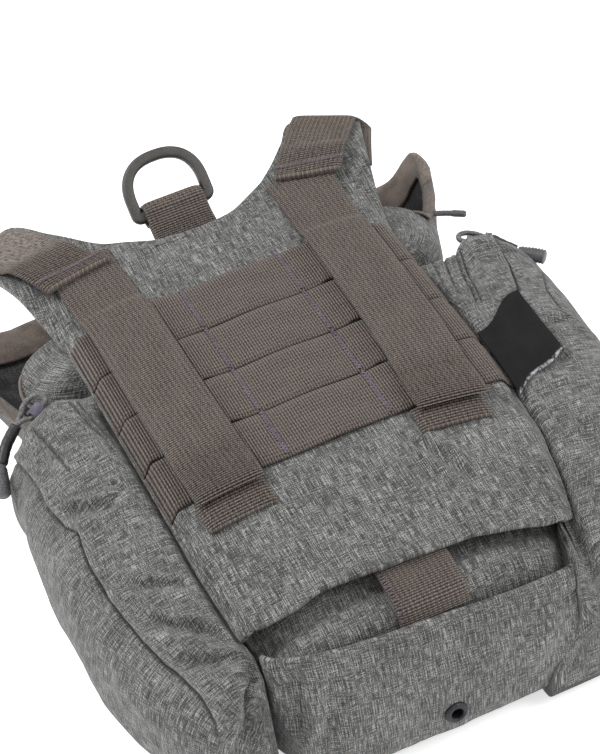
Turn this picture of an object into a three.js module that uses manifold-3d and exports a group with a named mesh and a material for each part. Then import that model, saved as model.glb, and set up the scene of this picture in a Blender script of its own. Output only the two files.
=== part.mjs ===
// A small kit bag of heathered grey cloth with taupe webbing. It lies on its front, so the back panel
// with its rows of webbing faces up. +X runs across the back panel, +Y from the bottom to the mouth
// and +Z up. Millimetres.
import * as THREE from 'three';
import { mergeVertices } from 'three/addons/utils/BufferGeometryUtils.js';
import Module from 'manifold-3d';

const wasm = await Module();
wasm.setup();

// Cloth and webbing
const CLOTH = 1.8;
const PANEL_CLOTH = 2.0;
const FACING_CLOTH = 1.0;
const WEBBING_WIDTH = 25.4;
const WEBBING = 1.6;
const SEAT = 0.35;
const STITCH_PITCH = 38.1;

// Back panel
const BACK_HEIGHT = 78;
const PANEL_OVERLAP = 2.0;
const EDGE_DROP = 5;
const HEM_DROP = 4;
const HEM_Y = -114;
const HEM_DROP_FROM = -60;
const FLARE_FROM = 50;

// Ears at the top corners of the back panel, each with its own webbing
const EAR = {
  x: 47.5, y: 84.5, angle: THREE.MathUtils.degToRad(33),
  length: 38, rise: 3.2, clear: 0.95, tuck: 20,
  spread: { left: 6.5, right: 0 },
};
const EAR_HEM = {
  length: 6,
  thick: 2.9,
  left: { start: -5.4, slant: 0.43 },
  right: { start: -0.4, slant: 0.25 },
};

// Hang loop and its ring
const TAB_X = -3;
const RING = {
  width: 34, height: 25.8, bar: 4.4, bevel: 0.9,
  y: 99.5, lift: 78.2, tilt: THREE.MathUtils.degToRad(43),
};

// Bottom panel, its pull tab and the drain eyelet
const BOTTOM = { centre: -5, half: 57, sweep: 12, cornerHeight: 50, cornerWidth: 40, tilt: -0.1 };
const EYELET = {
  x: -3, y: -132.4, z: 19, tilt: -0.09,
  flange: 4.3, barrel: 2.7, hole: 2.1, stand: 0.7, depth: 3.2,
};

// Main bag, a row for each section from the bottom to the mouth
const BODY = [
  { y: -126, centre: -5, half: 42, back: 55, front: 13, square: 3.0 },
  { y: -124, centre: -5, half: 49, back: 59.5, front: 7, square: 3.4 },
  { y: -119, centre: -5, half: 54, back: 63, front: 2.0, square: 3.8 },
  { y: -110, centre: -4.5, half: 57.5, back: 66, front: -0.8, square: 4.4 },
  { y: -92, centre: -3, half: 60.8, back: 70, front: -1.6, square: 5.4 },
  { y: -60, centre: -1, half: 63.4, back: 74, front: -1.8, square: 6.0 },
  { y: -15, centre: 0, half: 64, back: 74.8, front: -1.8, square: 6.0 },
  { y: 30, centre: 0, half: 64, back: 74.6, front: -1.6, square: 5.4 },
  { y: 38, centre: 0, half: 64.2, back: 74.2, front: -1.4, square: 4.8 },
  { y: 46, centre: 0, half: 79, back: 73, front: -0.8, square: 3.9 },
  { y: 56, centre: 0, half: 87, back: 71, front: 1, square: 3.5 },
  { y: 70, centre: 0, half: 91, back: 68, front: 6, square: 3.1 },
  { y: 92, centre: 0, half: 99, back: 63, front: 16, square: 2.7 },
  { y: 118, centre: 0, half: 106, back: 60, front: 28, square: 2.4 },
];
const RIM = { notch: 64, back: 96, front: 115, notchAt: 28, backAt: 72, frontAt: -14 };
const FACING_STATIONS = { deep: 18, middle: 9, binding: 4 };
const COLLAR_FOLDS = { from: 48, depth: 2.2, waves: 7 };

// Side pocket, a row for each section from its bottom to its mouth. The right pocket swells further out.
const POCKET = [
  { y: -131, reach: 15, back: 47, front: 17, swell: 0 },
  { y: -129, reach: 26, back: 55, front: 9, swell: 0 },
  { y: -124, reach: 34, back: 61.5, front: 3.5, swell: 0 },
  { y: -110, reach: 40, back: 66.5, front: 0.6, swell: 1 },
  { y: -80, reach: 43, back: 69.5, front: 0.3, swell: 2 },
  { y: -40, reach: 43.5, back: 70.4, front: 0.3, swell: 4 },
  { y: -5, reach: 42.5, back: 70.2, front: 0.6, swell: 7 },
  { y: 10, reach: 40, back: 68.6, front: 3, swell: 10 },
  { y: 20, reach: 40, back: 68.2, front: 4, swell: 10 },
  { y: 38, reach: 37, back: 66, front: 8, swell: 9 },
];
const POCKET_RIM = { near: 36, far: 24 };
const POCKET_SQUARE = 2.8;
const POCKET_FOLDS = [
  { y: -100, depth: 2.4, width: 5 },
  { y: -74, depth: 1.6, width: 6 },
  { y: -46, depth: 1.4, width: 5 },
  { y: -18, depth: 1.8, width: 6 },
  { y: 8, depth: 1.5, width: 4 },
];

// Care label sewn into the seam beside the right pocket
const LABEL = { start: -58, length: 40, reach: 24, skew: 14, inset: 1.6, cloth: 1.0, clear: 0.6 };

// Pulls on the pocket hems and the end of the collar's drawcord
const PULL_CORD = 1.8;
const PULL_SLEEVE = 3.6;
const PULL_END = 4.6;
const PULL_RIBBON = { outer: 2.6, hole: 1.8, width: 5 };
const PULLS = {
  left: {
    hemShare: 0.6,
    loop: [
      [-93.5, 37, 59.5], [-91.3, 38.3, 61.2], [-88.6, 41.6, 62.4], [-84.4, 42.6, 64.2], [-81, 40.2, 65.5],
      [-80.9, 36.9, 65.3], [-83.2, 35.3, 64.4], [-85.7, 34.4, 63.4], [-88.2, 33.6, 62.4],
      [-90.9, 34.6, 61.9], [-93.5, 35.4, 60.6],
    ],
    sleeve: [[-93.9, 36, 59.8], [-100, 33, 54.8], [-104.2, 28, 51.6]],
    end: [[-104.8, 27, 51.2], [-108.4, 15.6, 48.6]],
  },
  right: {
    hemShare: 0.62,
    loop: [
      [99.5, 37.5, 59.5], [97.5, 39.2, 61], [95, 42, 62.3], [90.5, 42.8, 64.2], [87, 40.2, 65.5],
      [86.8, 36.8, 65.3], [89.1, 35, 64.3], [91.6, 34.1, 63.3], [94.1, 33.3, 62.3],
      [96.7, 35.2, 62], [99.2, 36.4, 61.3],
    ],
    sleeve: [[99.8, 36.6, 60], [103.4, 33.6, 57.4], [107, 30.4, 55.4]],
    end: [[107.8, 29.7, 55.1], [115.2, 22.2, 54.2]],
  },
};
const CORD_END = { from: [95, 75.9, 46.5], to: [105.6, 71.6, 46], thick: 3 };

const COLOURS = {
  heather: 0x6c6c6a,
  webbing: 0x6f645d,
  facing: 0x6a5f57,
  plastic: 0x4b4947,
  label: 0x1d1d20,
  eyelet: 0x33302c,
  rubber: 0x2b2b2d,
};

const material = (colour, roughness, metalness = 0) =>
  new THREE.MeshStandardMaterial({ color: colour, roughness, metalness });
const HEATHER = material(COLOURS.heather, 0.92);
const TAUPE_WEBBING = material(COLOURS.webbing, 0.85);
const FACING = material(COLOURS.facing, 0.85);
const PLASTIC = material(COLOURS.plastic, 0.5);
const LABEL_CLOTH = material(COLOURS.label, 0.7);
const GUNMETAL = material(COLOURS.eyelet, 0.45, 0.8);
const RUBBER = material(COLOURS.rubber, 0.6);

const bag = new THREE.Group();
const addPiece = (name, geometry, finish) => {
  const mesh = new THREE.Mesh(geometry, finish);
  mesh.name = name;
  bag.add(mesh);
  return mesh;
};

// Even steps from one value to another, both ends included
const steps = (from, to, count) =>
  Array.from({ length: count + 1 }, (_, k) => from + ((to - from) * k) / count);

const smooth = (value, from, to) => THREE.MathUtils.smoothstep(value, from, to);

// A table's row at any y: a cubic through the rows, flat where a column turns round
function rowAt(table, y) {
  const last = table.length - 1;
  let low = 0;
  while (low < last - 1 && table[low + 1].y < y) low += 1;
  const a = table[low];
  const b = table[low + 1];
  const gap = b.y - a.y;
  const t = THREE.MathUtils.clamp((y - a.y) / gap, 0, 1);
  const slope = (k, key) => {
    if (k === 0 || k === last) return 0;
    const before = (table[k][key] - table[k - 1][key]) / (table[k].y - table[k - 1].y);
    const after = (table[k + 1][key] - table[k][key]) / (table[k + 1].y - table[k].y);
    return before * after > 0 ? (2 * before * after) / (before + after) : 0;
  };
  const row = { y };
  for (const key of Object.keys(a).filter((name) => name !== 'y')) {
    const rise = t * t * (3 - 2 * t);
    const lean = t * (1 - t) * ((1 - t) * slope(low, key) - t * slope(low + 1, key));
    row[key] = a[key] + (b[key] - a[key]) * rise + lean * gap;
  }
  return row;
}

// A closed solid through rings of equal count. Ends are closed by a fan, by a strip for a thin
// folded ring whose second half runs back along its first, or by joining the last ring to the first.
function solidFromRings(rings, ends) {
  const count = rings[0].length;
  const points = rings.flat().map((p) => p.clone());
  const faces = [];
  const quad = (a, b, c, d) => faces.push([a, b, c], [a, c, d]);
  const pairs = ends === 'joined' ? rings.length : rings.length - 1;
  for (let r = 0; r < pairs; r += 1) {
    const here = r * count;
    const next = ((r + 1) % rings.length) * count;
    for (let k = 0; k < count; k += 1) {
      const turn = (k + 1) % count;
      quad(here + k, here + turn, next + turn, next + k);
    }
  }
  const closeEnd = (ring, flip) => {
    const base = ring * count;
    if (ends === 'strip') {
      for (let k = 0; k < count / 2 - 1; k += 1) {
        const corners = [base + k, base + count - 1 - k, base + count - 2 - k, base + k + 1];
        quad(...(flip ? corners.reverse() : corners));
      }
      return;
    }
    const centre = points.length;
    const sum = rings[ring].reduce((total, p) => total.add(p), new THREE.Vector3());
    points.push(sum.divideScalar(count));
    for (let k = 0; k < count; k += 1) {
      const turn = (k + 1) % count;
      faces.push(flip ? [centre, base + k, base + turn] : [centre, base + turn, base + k]);
    }
  };
  if (ends !== 'joined') {
    closeEnd(0, false);
    closeEnd(rings.length - 1, true);
  }
  const volume = faces.reduce((total, [a, b, c]) => {
    const normal = new THREE.Vector3().crossVectors(points[b], points[c]);
    return total + points[a].dot(normal);
  }, 0);
  const outward = volume > 0 ? faces : faces.map(([a, b, c]) => [a, c, b]);
  const geometry = new THREE.BufferGeometry().setFromPoints(points);
  geometry.setIndex(outward.flat());
  return geometry;
}

// A sheet's ring: its lower edge from one side to the other and its upper edge back
const sheetRing = (lower, upper) => [...lower, ...[...upper].reverse()];

// Points round a square of half side 1, pulled in to a rounded square
function roundedSquare(perSide, square) {
  const corners = [[1, -1], [1, 1], [-1, 1], [-1, -1]];
  return corners.flatMap(([x, z], side) => {
    const [nextX, nextZ] = corners[(side + 1) % 4];
    return Array.from({ length: perSide }, (_, k) => {
      const t = k / perSide;
      const cx = x + (nextX - x) * t;
      const cz = z + (nextZ - z) * t;
      const pull = (Math.abs(cx) ** square + Math.abs(cz) ** square) ** (1 / square);
      return { x: cx / pull, z: cz / pull };
    });
  });
}

// Outside of the main bag at a place round its section, set in by part of the cloth
const BODY_SIDE_POINTS = 8;
function bodyPoint(place, y, inset) {
  const row = rowAt(BODY, y);
  const unit = roundedSquare(BODY_SIDE_POINTS, row.square)[place];
  const half = row.half - inset;
  const back = row.back - inset;
  const front = row.front + inset;
  const gather = smooth(y, COLLAR_FOLDS.from, RIM.front) * COLLAR_FOLDS.depth;
  const wave = gather * Math.sin(COLLAR_FOLDS.waves * Math.atan2(unit.z, Math.abs(unit.x)));
  const x = row.centre + unit.x * (half + wave);
  const z = (back + front) / 2 + unit.z * ((back - front) / 2 + wave);
  return new THREE.Vector3(x, y, Math.max(z, Math.max(inset, 0)));
}

// Height of the mouth round the section: a notch at each back corner, high over the front and back
function rimY(place) {
  const unit = roundedSquare(BODY_SIDE_POINTS, 3)[place];
  const angle = THREE.MathUtils.radToDeg(Math.atan2(unit.z, Math.abs(unit.x)));
  const toBack = smooth(angle, RIM.notchAt, RIM.backAt) * (RIM.back - RIM.notch);
  const toFront = smooth(-angle, -RIM.notchAt, -RIM.frontAt) * (RIM.front - RIM.notch);
  return RIM.notch + toBack + toFront;
}

const BODY_PLACES = Array.from({ length: BODY_SIDE_POINTS * 4 }, (_, place) => place);
const COLLAR_FROM = 38;
function collarStations(place) {
  const rim = rimY(place);
  const { deep, middle, binding } = FACING_STATIONS;
  return [...steps(COLLAR_FROM, rim - deep, 3), rim - middle, rim - binding, rim];
}

function bodyRings(inset) {
  const lower = [-126, -124, -119, -110, -92, -60, -15, 22];
  const below = lower.map((y, k) => BODY_PLACES.map((place) => {
    const point = bodyPoint(place, y, inset);
    point.y += inset * Math.max(0, 1 - k / 4);
    return point;
  }));
  const stations = BODY_PLACES.map(collarStations);
  const above = stations[0].map((_, step) =>
    BODY_PLACES.map((place) => bodyPoint(place, stations[place][step], inset)));
  return [...below, ...above];
}

const toManifold = (geometry) => {
  const merged = mergeVertices(geometry.clone().deleteAttribute('normal').deleteAttribute('uv'));
  return new wasm.Manifold(new wasm.Mesh({
    numProp: 3,
    vertProperties: new Float32Array(merged.attributes.position.array),
    triVerts: new Uint32Array(merged.index.array),
  }));
};
const fromManifold = (solid) => {
  const mesh = solid.getMesh();
  const geometry = new THREE.BufferGeometry();
  geometry.setAttribute('position', new THREE.BufferAttribute(mesh.vertProperties, 3));
  geometry.setIndex(new THREE.BufferAttribute(mesh.triVerts, 1));
  return geometry;
};

// A round bar along +Y that opens the drain hole through the bottom panel and the bag behind it
const DRAIN_CUT = 30;
const drainRadius = EYELET.barrel + SEAT;
const drainCut = new THREE.CylinderGeometry(drainRadius, drainRadius, DRAIN_CUT, 16);
drainCut.translate(EYELET.x, EYELET.y, EYELET.z);
const withDrainHole = (geometry) => fromManifold(toManifold(geometry).subtract(toManifold(drainCut)));

// Main bag: one cloth shell, closed at the bottom and open at the mouth
const shell = solidFromRings([...bodyRings(0), ...bodyRings(CLOTH).reverse()], 'fan');
addPiece('main_bag', withDrainHole(shell), HEATHER);

// Collar facing: a taupe band folded over the mouth, short outside and deep inside
const facingRings = [...BODY_PLACES].reverse().map((place) => {
  const rim = rimY(place);
  const outside = -SEAT;
  const inside = CLOTH + SEAT;
  const at = (below, inset, beyond = 0) => {
    const point = bodyPoint(place, rim - below, inset);
    point.y += beyond;
    return point;
  };
  const over = SEAT + FACING_CLOTH;
  const { deep, middle, binding } = FACING_STATIONS;
  return [
    at(binding, outside - FACING_CLOTH),
    at(0, outside - FACING_CLOTH, over),
    at(0, inside + FACING_CLOTH, over),
    at(binding, inside + FACING_CLOTH),
    at(middle, inside + FACING_CLOTH),
    at(deep, inside + FACING_CLOTH),
    at(deep, inside),
    at(middle, inside),
    at(binding, inside),
    at(0, inside, SEAT),
    at(0, outside, SEAT),
    at(binding, outside),
  ];
});
addPiece('collar_facing', solidFromRings(facingRings, 'joined'), FACING);

// Bottom panel: a cloth sheet over the bag's closed end, with a turned lip below the back panel's hem
const BOTTOM_PROFILE = [
  { y: -123.5, z: 0.6 },
  { y: -129.4, z: 9 },
  { y: -132, z: 24 },
  { y: -132.6, z: 40 },
  { y: -131.6, z: 54 },
  { y: -128.4, z: 63 },
];
const bottomCurve = new THREE.CatmullRomCurve3(
  BOTTOM_PROFILE.map(({ y, z }) => new THREE.Vector3(0, y, z)));
const bottomRings = steps(0, 1, 10).map((share) => {
  const at = bottomCurve.getPointAt(share);
  const along = bottomCurve.getTangentAt(share);
  const lowCorner = Math.max(0, 1 - at.z / BOTTOM.cornerHeight);
  const half = BOTTOM.half - BOTTOM.cornerWidth * (1 - Math.sqrt(1 - lowCorner ** 2));
  const lean = BOTTOM.tilt * smooth(at.z, 20, 63);
  const edge = (inset) => steps(-1, 1, 12).map((across) => {
    const out = across * half;
    const swept = BOTTOM.sweep * Math.abs(out / BOTTOM.half) ** 6;
    return new THREE.Vector3(
      BOTTOM.centre + out,
      at.y + swept + along.z * inset,
      at.z + lean * out - along.y * inset);
  });
  return sheetRing(edge(0), edge(CLOTH));
});
addPiece('bottom_panel', withDrainHole(solidFromRings(bottomRings, 'strip')), HEATHER);

// Drain eyelet: a flanged ring through the bottom panel
const eyeletProfile = [
  [EYELET.hole, -EYELET.stand],
  [EYELET.barrel + 0.6, -EYELET.stand - 0.5],
  [EYELET.flange, -EYELET.stand * 0.5],
  [EYELET.flange, 0],
  [EYELET.barrel, 0],
  [EYELET.barrel, EYELET.depth],
  [EYELET.hole, EYELET.depth],
  [EYELET.hole, -EYELET.stand],
].map(([radius, depth]) => new THREE.Vector2(radius, depth));
const eyelet = addPiece('drain_eyelet', new THREE.LatheGeometry(eyeletProfile, 16), GUNMETAL);
eyelet.position.set(EYELET.x, EYELET.y, EYELET.z);
eyelet.rotation.x = EYELET.tilt;

// Outer face of the back panel: a low crown across, drooping to the hem, with lifted ears
const earAlong = (x, y) =>
  (Math.abs(x) - EAR.x) * Math.sin(EAR.angle) + (y - EAR.y) * Math.cos(EAR.angle);
function backFace(x, y) {
  const row = rowAt(BODY, Math.min(y, 30));
  const across = (x - row.centre) / (row.half + PANEL_OVERLAP);
  const crown = EDGE_DROP * Math.min(Math.abs(across), 1) ** 4 * (1 - smooth(y, FLARE_FROM, EAR.y));
  const droop = HEM_DROP * Math.max(0, (HEM_DROP_FROM - y) / (HEM_DROP_FROM - HEM_Y)) ** 2;
  const ear = THREE.MathUtils.clamp(earAlong(x, y) / EAR.length, 0, 1);
  return BACK_HEIGHT - crown - droop + EAR.rise * Math.sin(Math.PI * ear);
}

// Top edge of the back panel from its middle to the outer corner of an ear
const NECK = [
  { y: 0, x: 0, top: 83 },
  { y: 0.22, x: 14, top: 83.5 },
  { y: 0.4, x: 26, top: 90 },
  { y: 0.55, x: 37, top: 99 },
  { y: 0.68, x: 46.5, top: 109 },
  { y: 0.8, x: 57, top: 123.5 },
  { y: 1, x: 80.5, top: 109 },
];
const PANEL_SPLIT = 0.62;
function panelPoint(across, along) {
  if (along <= PANEL_SPLIT) {
    const y = HEM_Y + ((FLARE_FROM - HEM_Y) * along) / PANEL_SPLIT;
    const row = rowAt(BODY, Math.min(y, 30));
    return { x: row.centre + across * (row.half + PANEL_OVERLAP), y };
  }
  const rise = (along - PANEL_SPLIT) / (1 - PANEL_SPLIT);
  const start = across * (rowAt(BODY, 30).half + PANEL_OVERLAP);
  const neck = rowAt(NECK, Math.abs(across));
  const spread = EAR.spread[across < 0 ? 'left' : 'right'] * smooth(Math.abs(across), 0.2, 0.6);
  const out = neck.x + spread * Math.cos(EAR.angle);
  const top = neck.top - spread * Math.sin(EAR.angle);
  return {
    x: start + (Math.sign(across) * out - start) * rise ** 1.4,
    y: FLARE_FROM + (top - FLARE_FROM) * rise,
  };
}
const PANEL_HALF = [0.18, 0.36, 0.5, 0.6, 0.68, 0.76, 0.84, 0.92, 1];
const PANEL_ACROSS = [...PANEL_HALF.map((share) => -share).reverse(), 0, ...PANEL_HALF];
const PANEL_ALONG = [...steps(0, PANEL_SPLIT, 9), ...steps(PANEL_SPLIT, 1, 11).slice(1)];
const panelRings = PANEL_ALONG.map((along) => {
  const face = (drop) => PANEL_ACROSS.map((across) => {
    const { x, y } = panelPoint(across, along);
    return new THREE.Vector3(x, y, backFace(x, y) - drop);
  });
  return sheetRing(face(PANEL_CLOTH), face(0));
});
addPiece('back_panel', solidFromRings(panelRings, 'strip'), HEATHER);

// Webbing rows: four bands side by side, each arched a little between its stitched columns
const ROW_ARCH = 0.7;
const ROW_HALF = 64.6;
const COLUMNS = [
  -ROW_HALF,
  ...[-1.5, -0.5, 0.5, 1.5].map((column) => column * STITCH_PITCH),
  ROW_HALF,
];
const rowArch = (x) => {
  const span = COLUMNS.findIndex((column) => column > x);
  const right = COLUMNS[Math.max(span, 1)];
  const left = COLUMNS[Math.max(span, 1) - 1];
  const width = Math.min(1, (right - left) / STITCH_PITCH);
  return ROW_ARCH * width * Math.sin((Math.PI * (x - left)) / (right - left)) ** 2;
};
const ROW_COUNT = 4;
for (let row = 0; row < ROW_COUNT; row += 1) {
  const middle = (ROW_COUNT / 2 - 0.5 - row) * WEBBING_WIDTH;
  const edges = [middle - WEBBING_WIDTH / 2 + SEAT / 2, middle + WEBBING_WIDTH / 2 - SEAT / 2];
  const rings = steps(-ROW_HALF, ROW_HALF, 20).map((x) => {
    const edge = (lift) => edges.map((y) =>
      new THREE.Vector3(x, y, backFace(x, y) + SEAT + rowArch(x) + lift));
    return sheetRing(edge(0), edge(WEBBING));
  });
  addPiece(`webbing_row_${row + 1}`, solidFromRings(rings, 'strip'), TAUPE_WEBBING);
}

// A band of webbing along a path of stations over the back panel. Each station gives the middle
// of the band, the way across, and how high and which way up its lower and upper faces lie.
function bandRings(stations, across) {
  return stations.map(({ x, y, base, thick, turn = Math.PI / 2, ahead, slant = 0 }) => {
    const face = (depth) => steps(-0.5, 0.5, 3).map((share) => {
      const side = share * WEBBING_WIDTH;
      const px = x + across.x * side + ahead.x * slant * side;
      const py = y + across.y * side + ahead.y * slant * side;
      const reach = depth * Math.cos(turn);
      return new THREE.Vector3(
        px + ahead.x * reach,
        py + ahead.y * reach,
        backFace(px, py) + base + depth * Math.sin(turn));
    });
    return sheetRing(face(0), face(thick));
  });
}

// Back straps: long vertical bands over the rows, tucked under the ear webbing at the top and
// rolled under below the last row
const STRAP_LINES = {
  left: [{ y: -70, x: -44.4 }, { y: 40, x: -45 }, { y: 88, x: -47.4 }],
  right: [{ y: -70, x: 38.4 }, { y: -55, x: 39.4 }, { y: 0, x: 43 }, { y: 88, x: 44.2 }],
};
const STRAP_SLANT = { left: 0, right: 0.12 };
const STRAP_TAIL = { from: -52.4, to: -68 };
const STRAP = {
  top: 88, clear: 0.8, rampFrom: 58, rampTo: 51.5,
  roll: 3.2, rollTurn: THREE.MathUtils.degToRad(62), end: -51.5,
};
const OVER_ROWS = SEAT + WEBBING + ROW_ARCH + SEAT;
for (const [side, sign] of [['left', -1], ['right', 1]]) {
  const ahead = { x: 0, y: -1 };
  const strapLine = (y) => ({
    x: rowAt(STRAP_LINES[side], y).x,
    slant: STRAP_SLANT[side] * (1 - smooth(y, STRAP.end, 0)),
  });
  const run = steps(STRAP.top, STRAP.end, 20).map((y) => ({
    ...strapLine(y),
    y,
    base: STRAP.clear + (OVER_ROWS - STRAP.clear) * (1 - smooth(y, STRAP.rampTo, STRAP.rampFrom)),
    thick: WEBBING,
    ahead,
  }));
  const rolled = steps(0, STRAP.rollTurn, 4).slice(1).map((angle) => ({
    ...strapLine(STRAP.end),
    y: STRAP.end - (STRAP.roll - WEBBING) * Math.sin(angle),
    base: OVER_ROWS - (STRAP.roll - WEBBING) * (1 - Math.cos(angle)),
    thick: WEBBING,
    turn: Math.PI / 2 - angle,
    ahead,
  }));
  addPiece(`back_strap_${side}`,
    solidFromRings(bandRings([...run, ...rolled], { x: 1, y: 0 }), 'strip'), TAUPE_WEBBING);

  // Strap tails: short ends of the same webbing showing below the roll
  const tail = steps(STRAP_TAIL.from, STRAP_TAIL.to, 4).map((y) =>
    ({ ...strapLine(y), y, base: SEAT, thick: WEBBING, ahead }));
  addPiece(`strap_tail_${side}`,
    solidFromRings(bandRings(tail, { x: 1, y: 0 }), 'strip'), TAUPE_WEBBING);

  // Ear webbing: hemmed end stitched over the back strap, up the ear, round its end and back below
  const earAhead = { x: sign * Math.sin(EAR.angle), y: Math.cos(EAR.angle) };
  const earAcross = { x: sign * earAhead.y, y: -sign * earAhead.x };
  const overStrap = STRAP.clear + WEBBING + 2 * SEAT;
  const wrap = PANEL_CLOTH / 2 + EAR.clear;
  const hemSlant = (distance) => EAR_HEM[side].slant * (1 - smooth(distance, 8, 30));
  const spread = EAR.spread[side];
  const onEar = (distance, base, thick, turn) => ({
    x: sign * EAR.x + earAcross.x * spread + earAhead.x * distance,
    y: EAR.y + earAcross.y * spread + earAhead.y * distance,
    base,
    thick,
    turn,
    ahead: earAhead,
    slant: hemSlant(distance),
  });
  const upper = steps(EAR_HEM[side].start, EAR.length, 12).map((distance) => onEar(
    distance,
    EAR.clear + (overStrap - EAR.clear) * (1 - smooth(distance, 12, 20)),
    distance < EAR_HEM.length ? EAR_HEM.thick : WEBBING));
  const round = steps(Math.PI / 2, -Math.PI / 2, 6).slice(1).map((turn) => onEar(
    EAR.length + wrap * Math.cos(turn),
    wrap * Math.sin(turn) - PANEL_CLOTH / 2,
    WEBBING,
    turn));
  const under = steps(EAR.length - 3, EAR.length - EAR.tuck, 4).map((distance) =>
    onEar(distance, -PANEL_CLOTH - EAR.clear, WEBBING, -Math.PI / 2));
  addPiece(`ear_webbing_${side}`,
    solidFromRings(bandRings([...upper, ...round, ...under], earAcross), 'strip'), TAUPE_WEBBING);
}

// A band seen from its side: a closed outline in the YZ plane, drawn across the band's width
function acrossBand(outline, x, width) {
  const shape = new THREE.Shape(outline.map(([y, z]) => new THREE.Vector2(y, z)));
  const geometry = new THREE.ExtrudeGeometry(shape, { depth: width, bevelEnabled: false });
  geometry.rotateY(Math.PI / 2);
  geometry.rotateX(Math.PI / 2);
  geometry.translate(x - width / 2, 0, 0);
  return geometry;
}

// Hang loop: webbing sewn under the neck of the back panel and folded round the ring's bar
const loopInner = RING.bar / 2 + RING.bevel + SEAT;
const loopOuter = loopInner + WEBBING;
const loopArc = (radius, from, to) => steps(from, to, 14).map((angle) =>
  [RING.y + radius * Math.cos(angle), RING.lift + radius * Math.sin(angle)]);
const LOOP_ROOT = { from: 76, bend: 84, clear: 90, width: 24.4 };
const rootTop = BACK_HEIGHT - PANEL_CLOTH - SEAT;
const mouth = THREE.MathUtils.degToRad(150);
const loopOutline = [
  [LOOP_ROOT.from, rootTop],
  [LOOP_ROOT.bend, rootTop],
  [LOOP_ROOT.clear, rootTop + WEBBING],
  ...loopArc(loopOuter, mouth, -mouth),
  [LOOP_ROOT.clear, rootTop - WEBBING * 2],
  [LOOP_ROOT.from, rootTop - WEBBING * 2],
];
const loopBand = acrossBand(loopOutline, TAB_X, LOOP_ROOT.width);
const barHole = new THREE.CylinderGeometry(loopInner, loopInner, WEBBING_WIDTH * 2, 20);
barHole.rotateZ(Math.PI / 2);
barHole.translate(TAB_X, RING.y, RING.lift);
addPiece('hang_loop', fromManifold(toManifold(loopBand).subtract(toManifold(barHole))), TAUPE_WEBBING);

// D-ring: a flat bar, two straight sides and a round bow, with bevelled edges
function ringOutline(inset) {
  const half = RING.width / 2 - inset;
  const low = -RING.bar / 2 + inset;
  const bow = RING.height - RING.width / 2 - RING.bar / 2;
  const outline = new THREE.Path();
  outline.moveTo(-half, low + 2);
  outline.quadraticCurveTo(-half, low, -half + 2, low);
  outline.lineTo(half - 2, low);
  outline.quadraticCurveTo(half, low, half, low + 2);
  outline.lineTo(half, bow);
  outline.absarc(0, bow, half, 0, Math.PI, false);
  outline.lineTo(-half, low + 2);
  return outline;
}
const ringShape = new THREE.Shape(ringOutline(RING.bevel).getPoints(6));
ringShape.holes.push(new THREE.Path(ringOutline(RING.bar - RING.bevel).getPoints(6).reverse()));
const ringGeometry = new THREE.ExtrudeGeometry(ringShape, {
  depth: RING.bar - 2 * RING.bevel,
  bevelThickness: RING.bevel,
  bevelSize: RING.bevel,
  bevelSegments: 1,
  curveSegments: 8,
});
ringGeometry.translate(0, 0, RING.bevel - RING.bar / 2);
const ring = addPiece('d_ring', ringGeometry, PLASTIC);
ring.position.set(TAB_X, RING.y, RING.lift);
ring.rotation.x = RING.tilt;

// Bottom pull tab: webbing from under the back panel's hem, down behind the bottom panel's lip
const tabBase = [[-98, 71.2], [-110, 68.9], [-117, 66.2], [-121.5, 63.4], [-123.9, 60.6]];
const tabCurve = new THREE.CatmullRomCurve3(tabBase.map(([y, z]) => new THREE.Vector3(0, y, z)));
const tabRings = steps(0, 1, 10).map((share) => {
  const at = tabCurve.getPointAt(share);
  const along = tabCurve.getTangentAt(share);
  const edge = (lift) => steps(-0.5, 0.5, 2).map((side) =>
    new THREE.Vector3(TAB_X + side * WEBBING_WIDTH, at.y + along.z * lift, at.z - along.y * lift));
  return sheetRing(edge(0), edge(WEBBING));
});
addPiece('bottom_tab', solidFromRings(tabRings, 'strip'), TAUPE_WEBBING);

// Outside of a side pocket: a half round bulge off the bag's side with soft folds across it
const pocketInner = (sign, y) => {
  const row = rowAt(BODY, Math.min(y, 30));
  return sign * (Math.max(row.half, BOTTOM.half) + 2 * SEAT) + row.centre;
};
const POCKET_EDGE = [
  ...steps(0, 1, 5).map((x) => ({ x, z: 1 })),
  ...steps(1, -1, 5).slice(1).map((z) => ({ x: 1, z })),
  ...steps(1, 0, 5).slice(1).map((x) => ({ x, z: -1 })),
  ...steps(-1, 1, 4).slice(1, -1).map((z) => ({ x: 0, z })),
];
function pocketRow(sign, y) {
  const row = rowAt(POCKET, y);
  return { ...row, reach: row.reach + (sign > 0 ? row.swell : 0) };
}
function pocketPoint(sign, place, y, inset) {
  const row = pocketRow(sign, y);
  const { x, z } = POCKET_EDGE[place];
  const pull = x === 0 ? 1 : (x ** POCKET_SQUARE + Math.abs(z) ** POCKET_SQUARE) ** (1 / POCKET_SQUARE);
  const fold = POCKET_FOLDS.reduce((total, { y: at, depth, width }) =>
    total + depth * Math.exp(-(((y - at) / width) ** 2)), 0);
  const seam = x === 0 ? 0 : fold * (x / pull);
  const reach = row.reach - 2 * inset - seam;
  const half = (row.back - row.front) / 2 - inset - seam / 2;
  const middle = (row.back + row.front) / 2;
  return new THREE.Vector3(
    pocketInner(sign, y) + sign * (inset + (x / pull) * reach),
    y,
    middle + (z / pull) * half);
}
const POCKET_PLACES = POCKET_EDGE.map((_, place) => place);
const pocketRimY = (place) => {
  const { x } = POCKET_EDGE[place];
  return POCKET_RIM.near + (POCKET_RIM.far - POCKET_RIM.near) * x ** 2;
};
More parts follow.
